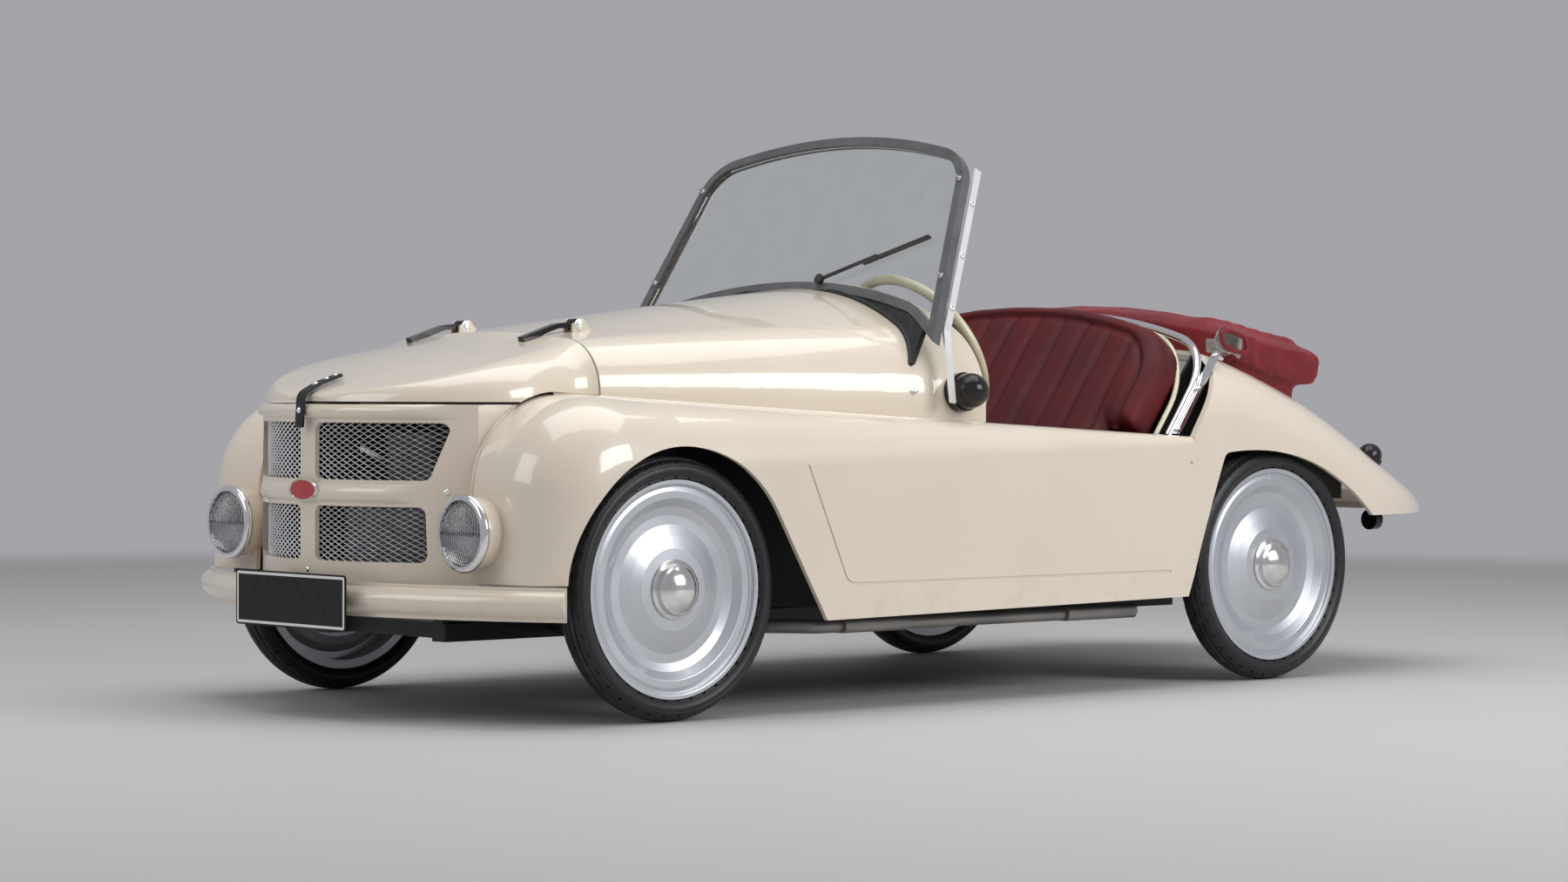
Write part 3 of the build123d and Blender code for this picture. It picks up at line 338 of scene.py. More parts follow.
def makeRedLeather(look):
    shader, place = startFinish("redLeather", {"Specular IOR Level": 0.28})
    pore = place.cells(look["poreScale"])
    crease = place.cells(look["creaseScale"])
    patch = place.cloud(9.0)
    # random patches between the two tones that carry the painted shade
    shadeDarkenedTone = patch.between(0.3, 0.7).blendTo(look["deep"], look["lit"])
    rub = place.cloud(22.0, 6.0).between(0.55, 0.8) * 0.45
    rub.blendTo(shadeDarkenedTone, look["worn"]).feed(shader, "Base Color")
    (patch * 0.18 + rub * -0.1 + 0.42).feed(shader, "Roughness")
    grain = pore.between(0.0, 0.16) * 0.7 + crease.between(0.0, 0.1) * 0.3
    grain.bump(0.32, 0.0006).feed(shader, "Normal")


makeRedLeather(leatherLook)

hoodLook = {
    "deep": tint(0.17, 0.007, 0.012),
    "lit": tint(0.24, 0.011, 0.018),
    "faded": tint(0.27, 0.033, 0.042),
    "weaveScale": 700.0,
}


def makeRedHood(look):
    shader, place = startFinish("redHood", {"Sheen Weight": 0.08, "Specular IOR Level": 0.35})
    weave = place.cells(look["weaveScale"])
    patch = place.cloud(7.0)
    base = patch.between(0.3, 0.7).blendTo(look["deep"], look["lit"])
    fade = place.cloud(16.0, 5.0).between(0.5, 0.8) * 0.5
    fade.blendTo(base, look["faded"]).feed(shader, "Base Color")
    (patch * 0.2 + 0.4).feed(shader, "Roughness")
    (weave.between(0.0, 0.14) * 0.5 + place.cloud(30.0) * 0.5).bump(0.25, 0.0008).feed(shader, "Normal")


makeRedHood(hoodLook)

# clear pane of the windscreen, slightly hazed
glassLook = {
    "fixed": {"Transmission Weight": 1.0, "IOR": 1.45, "Specular IOR Level": 0.5},
    "clean": tint(0.93, 0.96, 0.95),
    "hazed": tint(0.8928, 0.9216, 0.912),
    "smear": 0.02,
}


def makeGlass(look):
    shader, place = startFinish("screenGlass", look["fixed"])
    haze = place.cloud(18.0, 5.0).between(0.45, 0.75)
    haze.blendTo(look["clean"], look["hazed"]).feed(shader, "Base Color")
    (haze * look["smear"] + 0.01).feed(shader, "Roughness")


makeGlass(glassLook)

# blank plate: white line just inside its rounded edge
plateLook = {
    "halfWide": 0.18, "halfHigh": 0.053, "midZ": 0.224, "corner": 0.008,
    "inset": 0.0035, "line": 0.005, "soft": 0.0004, "faceX": (1.4484, 1.4488),
    "black": tint(0.012, 0.012, 0.013), "worn": tint(0.019, 0.019, 0.02), "white": tint(0.78, 0.78, 0.76),
}


def makePlate(look):
    shader, place = startFinish("plateBlank", {"Specular IOR Level": 0.2})
    across = abs(place.axis(1)) - (look["halfWide"] - look["corner"])
    up = abs(place.axis(2) - look["midZ"]) - (look["halfHigh"] - look["corner"])
    outX = across.atLeast(0.0)
    outZ = up.atLeast(0.0)
    inside = across.atLeast(up).atMost(0.0)
    edge = (outX * outX + outZ * outZ).root() + inside - look["corner"]
    soft = look["soft"]
    inner = (edge + look["inset"] + look["line"]).between(-soft, soft)
    line = inner * (0.0 - edge - look["inset"]).between(-soft, soft)
    face = place.axis(0).between(*look["faceX"])
    worn = place.cloud(60.0, 5.0).between(0.3, 0.7)
    black = worn.blendTo(look["black"], look["worn"])
    (line * face).blendTo(black, look["white"]).feed(shader, "Base Color")
    (worn * 0.12 + 0.26).feed(shader, "Roughness")
    line.bump(0.5, 0.0006).feed(shader, "Normal")


makePlate(plateLook)
print("roadster: finishes made,", len(finishes))


# small helpers for modelling by hand
def clearPick():
    if bpy.context.object and bpy.context.object.mode != "OBJECT":
        bpy.ops.object.mode_set(mode="OBJECT")
    bpy.ops.object.select_all(action="DESELECT")


def pickOnly(piece):
    clearPick()
    piece.select_set(True)
    bpy.context.view_layer.objects.active = piece


def editAll(piece):
    pickOnly(piece)
    bpy.ops.object.mode_set(mode="EDIT")
    bpy.ops.mesh.select_mode(type="VERT")
    bpy.ops.mesh.select_all(action="SELECT")


def pickFaces(piece, wanted):
    pickOnly(piece)
    bpy.ops.object.mode_set(mode="EDIT")
    bpy.ops.mesh.select_mode(type="FACE")
    bpy.ops.mesh.select_all(action="DESELECT")
    bpy.ops.object.mode_set(mode="OBJECT")
    for face in piece.data.polygons:
        face.select = wanted(face)
    bpy.ops.object.mode_set(mode="EDIT")


def applyPlace():
    bpy.ops.object.transform_apply(location=True, rotation=True, scale=True)


def copyOf(piece):
    pickOnly(piece)
    bpy.ops.object.duplicate()
    return bpy.context.object


def copySolid(nodeName):
    piece = bpy.data.objects.new(nodeName + "-copy", nodes[nodeName].data.copy())
    scene.collection.objects.link(piece)
    return piece


# points of a piece with the normals that they have before any is moved
def eachNormal(piece):
    return [(vertex, vertex.normal.copy()) for vertex in piece.data.vertices]


def applyAll(piece):
    pickOnly(piece)
    for modifier in list(piece.modifiers):
        bpy.ops.object.modifier_apply(modifier=modifier.name)


def modify(piece, kind, **settings):
    modifier = piece.modifiers.new(kind.lower(), kind)
    for name, setting in settings.items():
        setattr(modifier, name, setting)
    return modifier


def thicken(piece, thickness):
    modify(piece, "SOLIDIFY", thickness=thickness, offset=0.0)
    applyAll(piece)


# name, finish, shading and body of a finished piece, and the solids that it stands for
def dress(piece, name, finish, stands=(), angleDeg=40.0, body="chassis"):
    piece.name = name
    piece.data.name = name
    if finish:
        piece.data.materials.clear()
        piece.data.materials.append(finishes[finish])
    pickOnly(piece)
    applyPlace()
    if angleDeg:
        bpy.ops.object.shade_smooth_by_angle(angle=math.radians(angleDeg))
    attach(piece, body)
    if stands:
        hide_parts(*stands)
    return piece


def joinUp(pieces):
    clearPick()
    for piece in pieces:
        piece.select_set(True)
    bpy.context.view_layer.objects.active = pieces[0]
    bpy.ops.object.join()
    return bpy.context.object


def cleanShell(piece):
    editAll(piece)
    bpy.ops.mesh.remove_doubles(threshold=0.00002)
    bpy.ops.mesh.normals_make_consistent(inside=False)
    bpy.ops.object.mode_set(mode="OBJECT")


# one vertex, extruded along a line point by point, then spun about an axis
def turnRound(points, centre, axis, steps):
    clearPick()
    bpy.ops.mesh.primitive_plane_add(size=0.001, location=points[0])
    piece = bpy.context.object
    applyPlace()
    editAll(piece)
    bpy.ops.mesh.merge(type="CENTER")
    for previous, point in zip(points, points[1:]):
        step = {"value": Vector(point) - Vector(previous)}
        bpy.ops.mesh.extrude_vertices_move(TRANSFORM_OT_translate=step)
    bpy.ops.mesh.select_all(action="SELECT")
    bpy.ops.mesh.spin(steps=steps, angle=math.tau, center=centre, axis=axis)
    cleanShell(piece)
    return piece


# a round bar along a line of points
def bendBar(points, radius, closed=False, sides=3):
    clearPick()
    bpy.ops.curve.primitive_nurbs_path_add()
    piece = bpy.context.object
    piece.data.splines.clear()
    line = piece.data.splines.new("POLY")
    line.points.add(len(points) - 1)
    for spot, point in zip(line.points, points):
        spot.co = (point[0], point[1], point[2], 1.0)
    line.use_cyclic_u = closed
    piece.data.dimensions = "3D"
    piece.data.bevel_depth = radius
    piece.data.bevel_resolution = sides
    piece.data.use_fill_caps = not closed
    bpy.ops.object.convert(target="MESH")
    return bpy.context.object


# starts of probing lines, clear of the car's front, top and side and of the cowl
probeFrom = {"front": 2.0, "top": 1.2, "side": 0.6, "screenRise": 0.3}


# where a line from a start point meets a piece
def meet(piece, start, way):
    found, spot, normal, index = piece.ray_cast(Vector(start), Vector(way))
    return (spot, normal) if found else None


def meetAll(piece, starts, way):
    hits = [meet(piece, start, way) for start in starts]
    return [hit for hit in hits if hit]


# finishes on the solids that stay
solidFinish = {
    "creamPaint": (
        "bonnet", "bumper", "cowl", "dashboard", "front_panel", "headlamp_bowls", "hinge_brackets",
        "side_left", "side_right", "tail",
    ),
    "blackMetal": (
        "chassis", "floor_pan", "front_axle", "rear_axle", "knuckle_left", "knuckle_right", "tie_rod",
        "wheel_wells", "rear_wells",
    ),
    "lampBlack": ("side_lamps", "tail_lamps", "tail_reflectors", "bonnet_hinge_arms"),
    "strapRubber": ("bonnet_strap",),
    "chromeTrim": ("headlamp_rims", "hood_bow"),
    "creamPlastic": ("steering_wheel",),
    "columnBlack": ("steering_column", "wiper"),
    "engineAlloy": ("engine",),
    "exhaustSteel": ("exhaust",),
    "wheelSilver": ("disc_fl", "disc_fr", "disc_rl", "disc_rr"),
    "hubcapAlloy": ("hubcap_fl", "hubcap_fr", "hubcap_rl", "hubcap_rr"),
    "plateBlank": ("number_plate",),
}
for finishName, members in solidFinish.items():
    for member in members:
        nodes[member].data.materials.clear()
        nodes[member].data.materials.append(finishes[finishName])


# bend of the front panel: its middle line, and the radii of its sheet and of the grille
noseBend = {"middleX": 0.929, "sheet": 0.480, "mesh": 0.4682}

# inner faces of the front panel and the sides, black as the rest of the engine bay: painted shade, standing
# in for the shade seen through the grille
bayShape = {"square": -0.8, "slanted": -0.5, "panelEdge": 0.325, "sideTurn": 0.6, "sideFrom": 0.45}


def behindPanel(face):
    out = face.center - Vector((noseBend["middleX"], 0.0, 0.0))
    out.z = 0.0
    inward = face.normal.dot(out.normalized())
    atEdge = abs(face.center.y) > bayShape["panelEdge"]
    return inward < bayShape["square"] or (atEdge and inward < bayShape["slanted"])


def behindSide(face):
    across = face.center.y
    turned = face.normal.y * across < 0 and abs(face.normal.y) > bayShape["sideTurn"]
    return turned and abs(across) > bayShape["sideFrom"]


paintedShadeFaces = {"front_panel": behindPanel, "side_left": behindSide, "side_right": behindSide}
for nodeName, inPaintedShade in paintedShadeFaces.items():
    skin = nodes[nodeName].data
    skin.materials.append(finishes["blackMetal"])
    for face in skin.polygons:
        if inPaintedShade(face):
            face.material_index = 1
print("roadster: solids painted")

# tyres: ribbed tread, blocked shoulders, ringed walls
tyreShape = {
    "steps": 160,
    "wall": [
        (0.0217, 0.199), (0.0217, 0.2062), (0.0240, 0.2085), (0.0262, 0.2092), (0.0270, 0.2108),
        (0.0266, 0.2122), (0.0296, 0.2158), (0.0320, 0.2200), (0.0330, 0.2240), (0.0327, 0.2280),
        (0.0318, 0.2312), (0.0322, 0.2320), (0.0316, 0.2332), (0.0308, 0.2334), (0.0288, 0.2382),
        (0.0262, 0.2416),
    ],
    "ribs": [0.0246, 0.0182, 0.0176, 0.0152, 0.0146, 0.0066, 0.0060, 0.0034, 0.0028],
    "grooves": (2, 3, 6, 7),
    "grooveDepth": 0.0032,
    "crown": 0.250,
    "drop": 12.6,
    "shoulder": (0.0247, 0.0276),
    "blockEvery": 4,
    "blockDepth": 0.0022,
    "wheels": {"fl": (0.958, 1), "fr": (0.958, -1), "rl": (-0.742, 1), "rr": (-0.742, -1)},
}


def tyreLine(shape):
    half = list(shape["wall"])
    for index, across in enumerate(shape["ribs"]):
        sunk = shape["grooveDepth"] if index in shape["grooves"] else 0.0
        half.append((across, shape["crown"] - shape["drop"] * across * across - sunk))
    other = [(-across, radius) for across, radius in reversed(half)]
    return half + other + [half[0]]


def makeTyre(shape):
    x = shape["wheels"]["fl"][0]
    y = wheelSpots["outY"]
    z = wheelSpots["axleZ"]
    points = [Vector((x, y + across, z + radius)) for across, radius in tyreLine(shape)]
    piece = turnRound(points, (x, y, z), (0, 1, 0), shape["steps"])
    sector = math.tau / shape["steps"]

    def onShoulder(face):
        near, far = shape["shoulder"]
        turn = math.atan2(face.center.x - x, face.center.z - z) % math.tau
        return near < abs(face.center.y - y) < far and int(turn / sector) % shape["blockEvery"] == 0

    pickFaces(piece, onShoulder)
    sink = {"value": -shape["blockDepth"], "use_even_offset": False}
    bpy.ops.mesh.extrude_region_shrink_fatten(TRANSFORM_OT_shrink_fatten=sink)
    bpy.ops.object.mode_set(mode="OBJECT")
    return piece


def fitTyres(shape):
    made = {"fl": makeTyre(shape)}
    home = Matrix.Translation((shape["wheels"]["fl"][0], 0, 0))
    for corner, (x, side) in shape["wheels"].items():
        if corner not in made:
            made[corner] = copyOf(made["fl"])
            half = Matrix.Rotation(0.0 if side > 0 else math.pi, 4, "Z")
            made[corner].data.transform(Matrix.Translation((x, 0, 0)) @ half @ home.inverted())
    for corner, piece in made.items():
        stands = ("tyre_" + corner,)
        dress(piece, "tyre-" + corner, "tyreBlack", stands, 28.0, "wheel_" + corner)


fitTyres(tyreShape)
print("roadster: tyres fitted")

# grille: expanded metal, bent round the nose behind each window
grilleShape = {
    "pitch": (0.0212, 0.0118),
    "strand": 0.0034,
    "overlap": (0.018, 0.007),
    "windows": [(0.024, 0.454, 0.562, 0.310), (0.024, 0.300, 0.404, 0.272)],
}


def makeLattice(width, height, pitch):
    columns = math.ceil(width / pitch[0])
    rows = math.ceil(height / pitch[1])
    clearPick()
    bpy.ops.mesh.primitive_grid_add(x_subdivisions=columns, y_subdivisions=rows, size=1)
    piece = bpy.context.object
    piece.scale = (width, height, 1)
    applyPlace()
    editAll(piece)
    bpy.ops.mesh.poke()
    bpy.ops.mesh.select_mode(type="EDGE")
    bpy.ops.mesh.select_all(action="DESELECT")
    bpy.ops.object.mode_set(mode="OBJECT")
    for edge in piece.data.edges:
        start, end = [piece.data.vertices[index].co for index in edge.vertices]
        run = end - start
        middle = (end + start) / 2
        straight = abs(run.x) < 1e-6 or abs(run.y) < 1e-6
        inside = abs(middle.x) < width / 2 - 1e-5 and abs(middle.y) < height / 2 - 1e-5
        edge.select = straight and inside
    bpy.ops.object.mode_set(mode="EDIT")
    bpy.ops.mesh.dissolve_edges()
    bpy.ops.object.mode_set(mode="OBJECT")
    return piece


def fitGrille(shape):
    panels = []
    for innerY, lowZ, highZ, outerY in shape["windows"]:
        for side in (1, -1):
            lapY, lapZ = shape["overlap"]
            near, far = innerY - lapY, outerY + lapY
            low, high = lowZ - lapZ, highZ + lapZ
            piece = makeLattice(far - near, high - low, shape["pitch"])
            for vertex in piece.data.vertices:
                y = side * (vertex.co.x + (near + far) / 2)
                z = vertex.co.y + (low + high) / 2
                vertex.co = (noseBend["middleX"] + math.sqrt(noseBend["mesh"] ** 2 - y * y), y, z)
            modify(piece, "WIREFRAME", thickness=shape["strand"], use_even_offset=False, use_boundary=True)
            applyAll(piece)
            panels.append(piece)
    grille = joinUp(panels)
    cleanShell(grille)
    dress(grille, "grille-mesh", "silverMesh", ("grille_mesh",), 20.0)


fitGrille(grilleShape)
print("roadster: grille fitted")

# headlamps: fluted lens shell over a shallow bright dish that carries a painted reflection
lampShape = {
    "place": (1.321, 0.382, 0.359),
    "edge": (0.011, 0.0617),
    "top": 0.024,
    "wall": 0.003,
    "rim": 0.001,
    "rings": (14, 8),
    "steps": 72,
    "dish": [
        (0.0022, 0.0), (0.0024, 0.015), (0.0034, 0.032), (0.0056, 0.048), (0.0085, 0.0585), (0.0075, 0.0605),
        (0.0012, 0.0605), (0.0012, 0.0),
    ],
    "dishSteps": 48,
    "flutePitch": 0.0055,
    "lensSplit": (-0.006, 0.002),
    # the next three keys place the dish's painted reflection: its split between the halves and its dark line
    "paintedReflectionSplit": (-0.004, 0.003),
    "paintedReflectionLine": (0.0012, 0.0032),
    "paintedReflectionLineDrop": 0.001,
    "clear": (tint(0.97, 0.98, 0.98), tint(0.93, 0.94, 0.94)),
    # dark and bright tones of the dish's painted reflection
    "paintedReflectionTones": (tint(0.03, 0.03, 0.032), tint(0.95, 0.96, 0.97)),
}


def flutes(place, shape):
    return (place.axis(1) * (math.tau / shape["flutePitch"])).sine()


def makeFlutedGlass(shape):
    shader, place = startFinish("flutedGlass", {"Transmission Weight": 1.0, "IOR": 1.46})
    upper = (place.axis(2) - shape["place"][2]).between(*shape["lensSplit"])
    haze = place.cloud(30.0, 5.0)
    haze.between(0.3, 0.8).blendTo(*shape["clear"]).feed(shader, "Base Color")
    (haze * 0.05 + 0.02).feed(shader, "Roughness")
    (flutes(place, shape) * (0.25 + upper * 0.75)).bump(0.5, 0.0016).feed(shader, "Normal")


# painted reflection on the dish: bright upper half with flutes, darker lower half, a dark line between
def makePaintedReflectionDish(shape):
    shader, place = startFinish("paintedReflectionDish", {"Metallic": 1.0})
    height = place.axis(2) - shape["place"][2]
    upper = height.between(*shape["paintedReflectionSplit"])
    line = 1.0 - abs(height + shape["paintedReflectionLineDrop"]).between(*shape["paintedReflectionLine"])
    # this tone is painted reflection, not the reflector's own colour
    tone = upper * 0.25 + 0.6 + upper * flutes(place, shape) * 0.2 - line * 0.4
    tone.between(0.0, 1.0).blendTo(*shape["paintedReflectionTones"]).feed(shader, "Base Color")
    (place.cloud(40.0) * 0.06 + 0.12).feed(shader, "Roughness")


def domeLine(edge, top, count):
    rise = top - edge[0]
    ball = (edge[1] ** 2 + rise**2) / (2 * rise)
    full = math.asin(edge[1] / ball)
    line = []
    for step in range(count + 1):
        lean = full * (1 - step / count)
        line.append((top - ball * (1 - math.cos(lean)), ball * math.sin(lean)))
    return line


def turnLamps(line, steps, shape):
    made = []
    for side in (1, -1):
        x, y, z = shape["place"]
        points = [Vector((x + out, side * y, z + radius)) for out, radius in line]
        made.append(turnRound(points, (x, side * y, z), (1, 0, 0), steps))
    return joinUp(made)


def fitLamps(shape):
    makeFlutedGlass(shape)
    makePaintedReflectionDish(shape)
    out, radius = shape["edge"]
    outer = domeLine((out, radius), shape["top"], shape["rings"][0])
    lip = (out - shape["wall"], radius - shape["rim"])
    inner = domeLine(lip, shape["top"] - shape["wall"], shape["rings"][1])
    shell = outer + list(reversed(inner)) + [outer[0]]
    lens = turnLamps(shell, shape["steps"], shape)
    dress(lens, "headlamp-glass", "flutedGlass", ("headlamp_lenses",))
    dish = turnLamps(shape["dish"], shape["dishSteps"], shape)
    dress(dish, "headlamp-dish", "paintedReflectionDish")


fitLamps(lampShape)
print("roadster: headlamps fitted")

# seat: swollen leather pads, pleats sewn in afterwards
seatShape = {
    "voxel": 0.009,
    "even": 3,
    "shrink": 0.002,
    "pressure": 4.0,
    "frames": 20,
    "swell": 0.0065,
    "backFoot": (-0.420, 0.0, 0.529),
    "backUp": (-0.595, 0.0, 0.803),
    "backOut": (0.803, 0.0, 0.595),
    "backHalf": 0.5,
    "backTop": 0.312,
    "backSide": 0.212,
    "backCorner": 0.14,
    "backEdge": (0.046, 0.034, 0.068),
    "cushionEdge": (0.05, 0.045, 0.07),
    "panelSunk": 0.004,
    "pleatPitch": 0.078,
    "pleatDepth": 0.011,
    "seamDepth": 0.010,
    "seamWide": 0.009,
    "sag": 0.0035,
    "backFacing": (0.25, 0.7),
    "cushionFacing": (0.3, 0.75),
    "cornerDrop": 0.042,
    "dropAcross": (0.40, 0.45),
    "dropBelow": (0.11, 0.09),
}


# a copy of the solid, merged, remeshed and shrunk, then blown up by cloth pressure
def swellCopy(nodeName, shape):
    piece = copySolid(nodeName)
    piece.data.materials.clear()
    editAll(piece)
    bpy.ops.mesh.remove_doubles(threshold=0.00005)
    bpy.ops.object.mode_set(mode="OBJECT")
    modify(piece, "REMESH", mode="VOXEL", voxel_size=shape["voxel"])
    modify(piece, "SMOOTH", factor=0.5, iterations=shape["even"])
    modify(piece, "DISPLACE", mid_level=0.0, strength=-shape["shrink"])
    applyAll(piece)
    start = [vertex.co.copy() for vertex in piece.data.vertices]
    cloth = modify(piece, "CLOTH").settings
    cloth.quality = 4
    cloth.use_pressure = True
    cloth.uniform_pressure_force = shape["pressure"]
    cloth.effector_weights.gravity = 0.0
    for step in range(1, shape["frames"] + 1):
        scene.frame_set(step)
    applyAll(piece)
    scene.frame_set(1)
    for vertex, home in zip(piece.data.vertices, start):
        move = vertex.co - home
        if move.length > shape["swell"]:
            vertex.co = home + move.normalized() * shape["swell"]
    modify(piece, "SUBSURF", levels=1, render_levels=1)
    applyAll(piece)
    return piece


def smoothStep(value, low, high):
    part = min(1.0, max(0.0, (value - low) / (high - low)))
    return part * part * (3 - 2 * part)


# how far a point of the back lies inside its arched outline
def insideBack(across, up, shape):
    reach = shape["backTop"] - (shape["backTop"] - shape["backSide"]) * (across / shape["backHalf"]) ** 2
    corner = shape["backCorner"]
    side = shape["backHalf"] - abs(across)
    top = reach - up
    if side < corner and top < corner:
        return corner - math.hypot(corner - side, corner - top)
    return min(side, top)


# how far the pleats and the seam round them draw the leather in
def stitch(across, inside, edge, sunk, shape):
    border, start, full = edge
    phase = (across / shape["pleatPitch"]) % 1.0
    pleat = shape["pleatDepth"] * abs(2 * phase - 1) ** 5
    seam = shape["seamDepth"] * math.exp(-(((inside - border) / shape["seamWide"]) ** 2))
    return smoothStep(inside, start, full) * (pleat + sunk) + seam


def sewBack(piece, shape):
    foot = Vector(shape["backFoot"])
    up = Vector(shape["backUp"])
    out = Vector(shape["backOut"])
    below, fade = shape["dropBelow"]
    for vertex, normal in eachNormal(piece):
        spot = vertex.co - foot
        across = spot.y
        rise = spot.dot(up)
        facing = smoothStep(normal.dot(out), *shape["backFacing"])
        inside = insideBack(across, rise, shape)
        sewn = stitch(across, inside, shape["backEdge"], shape["panelSunk"], shape)
        sag = shape["sag"] * ripple.noise(Vector((across * 9, rise * 7, 3.0)))
        vertex.co -= out * (facing * (sewn + sag))
        low = smoothStep(abs(across), *shape["dropAcross"]) * smoothStep(below - rise, 0.0, fade)
        vertex.co -= up * (shape["cornerDrop"] * low)


def sewCushion(piece, shape):
    low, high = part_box("seat_cushion")
    for vertex, normal in eachNormal(piece):
        x, y, z = vertex.co
        facing = smoothStep(normal.z, *shape["cushionFacing"])
        inside = min(x - low.x, high.x - x, high.y - abs(y))
        vertex.co.z = z - facing * stitch(y, inside, shape["cushionEdge"], 0.0, shape)


def fitSeat(shape):
    back = swellCopy("seat_back", shape)
    sewBack(back, shape)
    dress(back, "seat-back", "redLeather", ("seat_back",), 60.0)
    cushion = swellCopy("seat_cushion", shape)
    sewCushion(cushion, shape)
    dress(cushion, "seat-cushion", "redLeather", ("seat_cushion",), 60.0)


fitSeat(seatShape)
print("roadster: seat sewn")

# folded hood: a wrinkled roll behind the seat, its sleeve open at both ends
hoodShape = {
    "voxel": 0.008,
    "even": 14,
    "shrink": 0.002,
    "pressure": 3.0,
    "frames": 16,
    "swell": 0.007,
    "wrinkle": 0.0045,
    "sunk": 0.004,
    "folds": 0.006,
    "foldTurns": 95,
    "upFacing": (0.1, 0.7),
    "backFacing": (0.3, 0.8),
    "rearReach": (0.2, 0.15),
    "sleeveMid": (-0.7255, 0.7323),
    "sleeveHalf": [(-0.0405, -0.0083), (0.003, 0.0203)],
    "sleeveLean": 0.41,
    "sleeveReach": 1.25,
    "liningY": (0.36, 0.4485),
    "liningFacing": (0.004, 0.6),
    "rim": 0.0055,
    "rimSteps": 32,
    "rimPower": 0.65,
    "endY": 0.4565,
}


def crumple(piece, shape):
    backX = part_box("hood_roll")[0].x
    reach, fade = shape["rearReach"]
    for vertex, normal in eachNormal(piece):
        x, y, z = vertex.co
        warp = ripple.noise(Vector((x * 4, y * 5, 1.7))) * 0.05
        ridge = abs(ripple.noise(Vector(((x + 0.3 * z + warp) * 9, y * 2.6, 0.4))))
        diagonal = abs(ripple.noise(Vector(((x + y * 0.7 + warp) * 7, (y - x) * 3, 7.1))))
        upper = smoothStep(normal.z, *shape["upFacing"])
        back = smoothStep(-normal.x, *shape["backFacing"])
        rear = smoothStep(backX + reach - x, 0.0, fade)
        depth = shape["wrinkle"] * (0.55 * (0.5 - ridge) + 0.75 * (0.35 - diagonal)) - shape["sunk"]
        wave = 0.5 + 0.5 * math.sin(z * shape["foldTurns"] + y * 3 + 4 * warp)
        layer = -shape["folds"] * wave * back * rear
        vertex.co += normal * (depth * (0.25 + 0.75 * upper) + layer)


# grey lining inside the open ends of the sleeve
def lineSleeve(hood, shape):
    midX, midZ = shape["sleeveMid"]
    along, across = shape["sleeveHalf"]
    near, far = shape["liningY"]
    least, endOn = shape["liningFacing"]
    hood.data.materials.append(finishes["liningGrey"])
    for face in hood.data.polygons:
        spot = face.center
        run = (spot.x - midX) / abs(along[0])
        rise = (spot.z - midZ) / across[1]
        within = max(abs(run), abs(rise - shape["sleeveLean"] * run)) < shape["sleeveReach"]
        inward = face.normal.dot(Vector((midX, spot.y, midZ)) - spot) > least
        if within and near < abs(spot.y) < far and (inward or abs(face.normal.y) > endOn):
            face.material_index = 1


def bulge(value, power):
    return math.copysign(abs(value) ** power, value)


def sleeveLoop(side, shape):
    midX, midZ = shape["sleeveMid"]
    along, across = shape["sleeveHalf"]
    loop = []
    for step in range(shape["rimSteps"]):
        turn = math.tau * step / shape["rimSteps"]
        run = bulge(math.cos(turn), shape["rimPower"])
        rise = bulge(math.sin(turn), shape["rimPower"])
        x = midX + along[0] * run + across[0] * rise
        z = midZ + along[1] * run + across[1] * rise
        loop.append(Vector((x, side * shape["endY"], z)))
    return loop


def fitHood(shape):
    hood = swellCopy("hood_roll", shape)
    crumple(hood, shape)
    dress(hood, "hood-roll", "redHood", ("hood_roll",), 60.0)
    lineSleeve(hood, shape)
    rims = [bendBar(sleeveLoop(side, shape), shape["rim"], True) for side in (1, -1)]
    dress(joinUp(rims), "sleeve-rims", "redHood", (), 60.0)


fitHood(hoodShape)
print("roadster: hood folded")

# small turned fittings, modelled once standing on the origin and copied to their seats
fittingShape = {
    "screw": [
        (0.0, 0.0), (0.0, 0.0062), (0.001, 0.0062), (0.0022, 0.005), (0.003, 0.0028), (0.0024, 0.0012),
        (0.0024, 0.0),
    ],
    "bolt": [
        (0.0, 0.0), (0.0, 0.0105), (0.0012, 0.0105), (0.0015, 0.0078), (0.0058, 0.0074), (0.0068, 0.0058),
        (0.0072, 0.0),
    ],
    "hook": [
        (0.0, 0.0), (0.0, 0.0062), (0.0012, 0.0062), (0.0018, 0.0024), (0.0095, 0.0021), (0.0102, 0.0042),
        (0.0114, 0.0042), (0.012, 0.0),
    ],
    "steps": 16,
}


def setRow(name, kind, seats, finish="chromeTrim", body="chassis"):
    points = [Vector((0, radius, rise)) for rise, radius in fittingShape[kind]]
    first = turnRound(points, (0, 0, 0), (0, 0, 1), fittingShape["steps"])
    made = []
    for place, normal in seats:
        piece = copyOf(first)
        turn = Vector(normal).to_track_quat("Z", "Y").to_matrix().to_4x4()
        piece.data.transform(Matrix.Translation(place) @ turn)
        made.append(piece)
    pickOnly(first)
    bpy.ops.object.delete()
    dress(joinUp(made), name, finish, body=body)


def bothSides(seats):
    twin = [(Vector((p[0], -p[1], p[2])), Vector((n[0], -n[1], n[2]))) for p, n in seats]
    return seats + twin


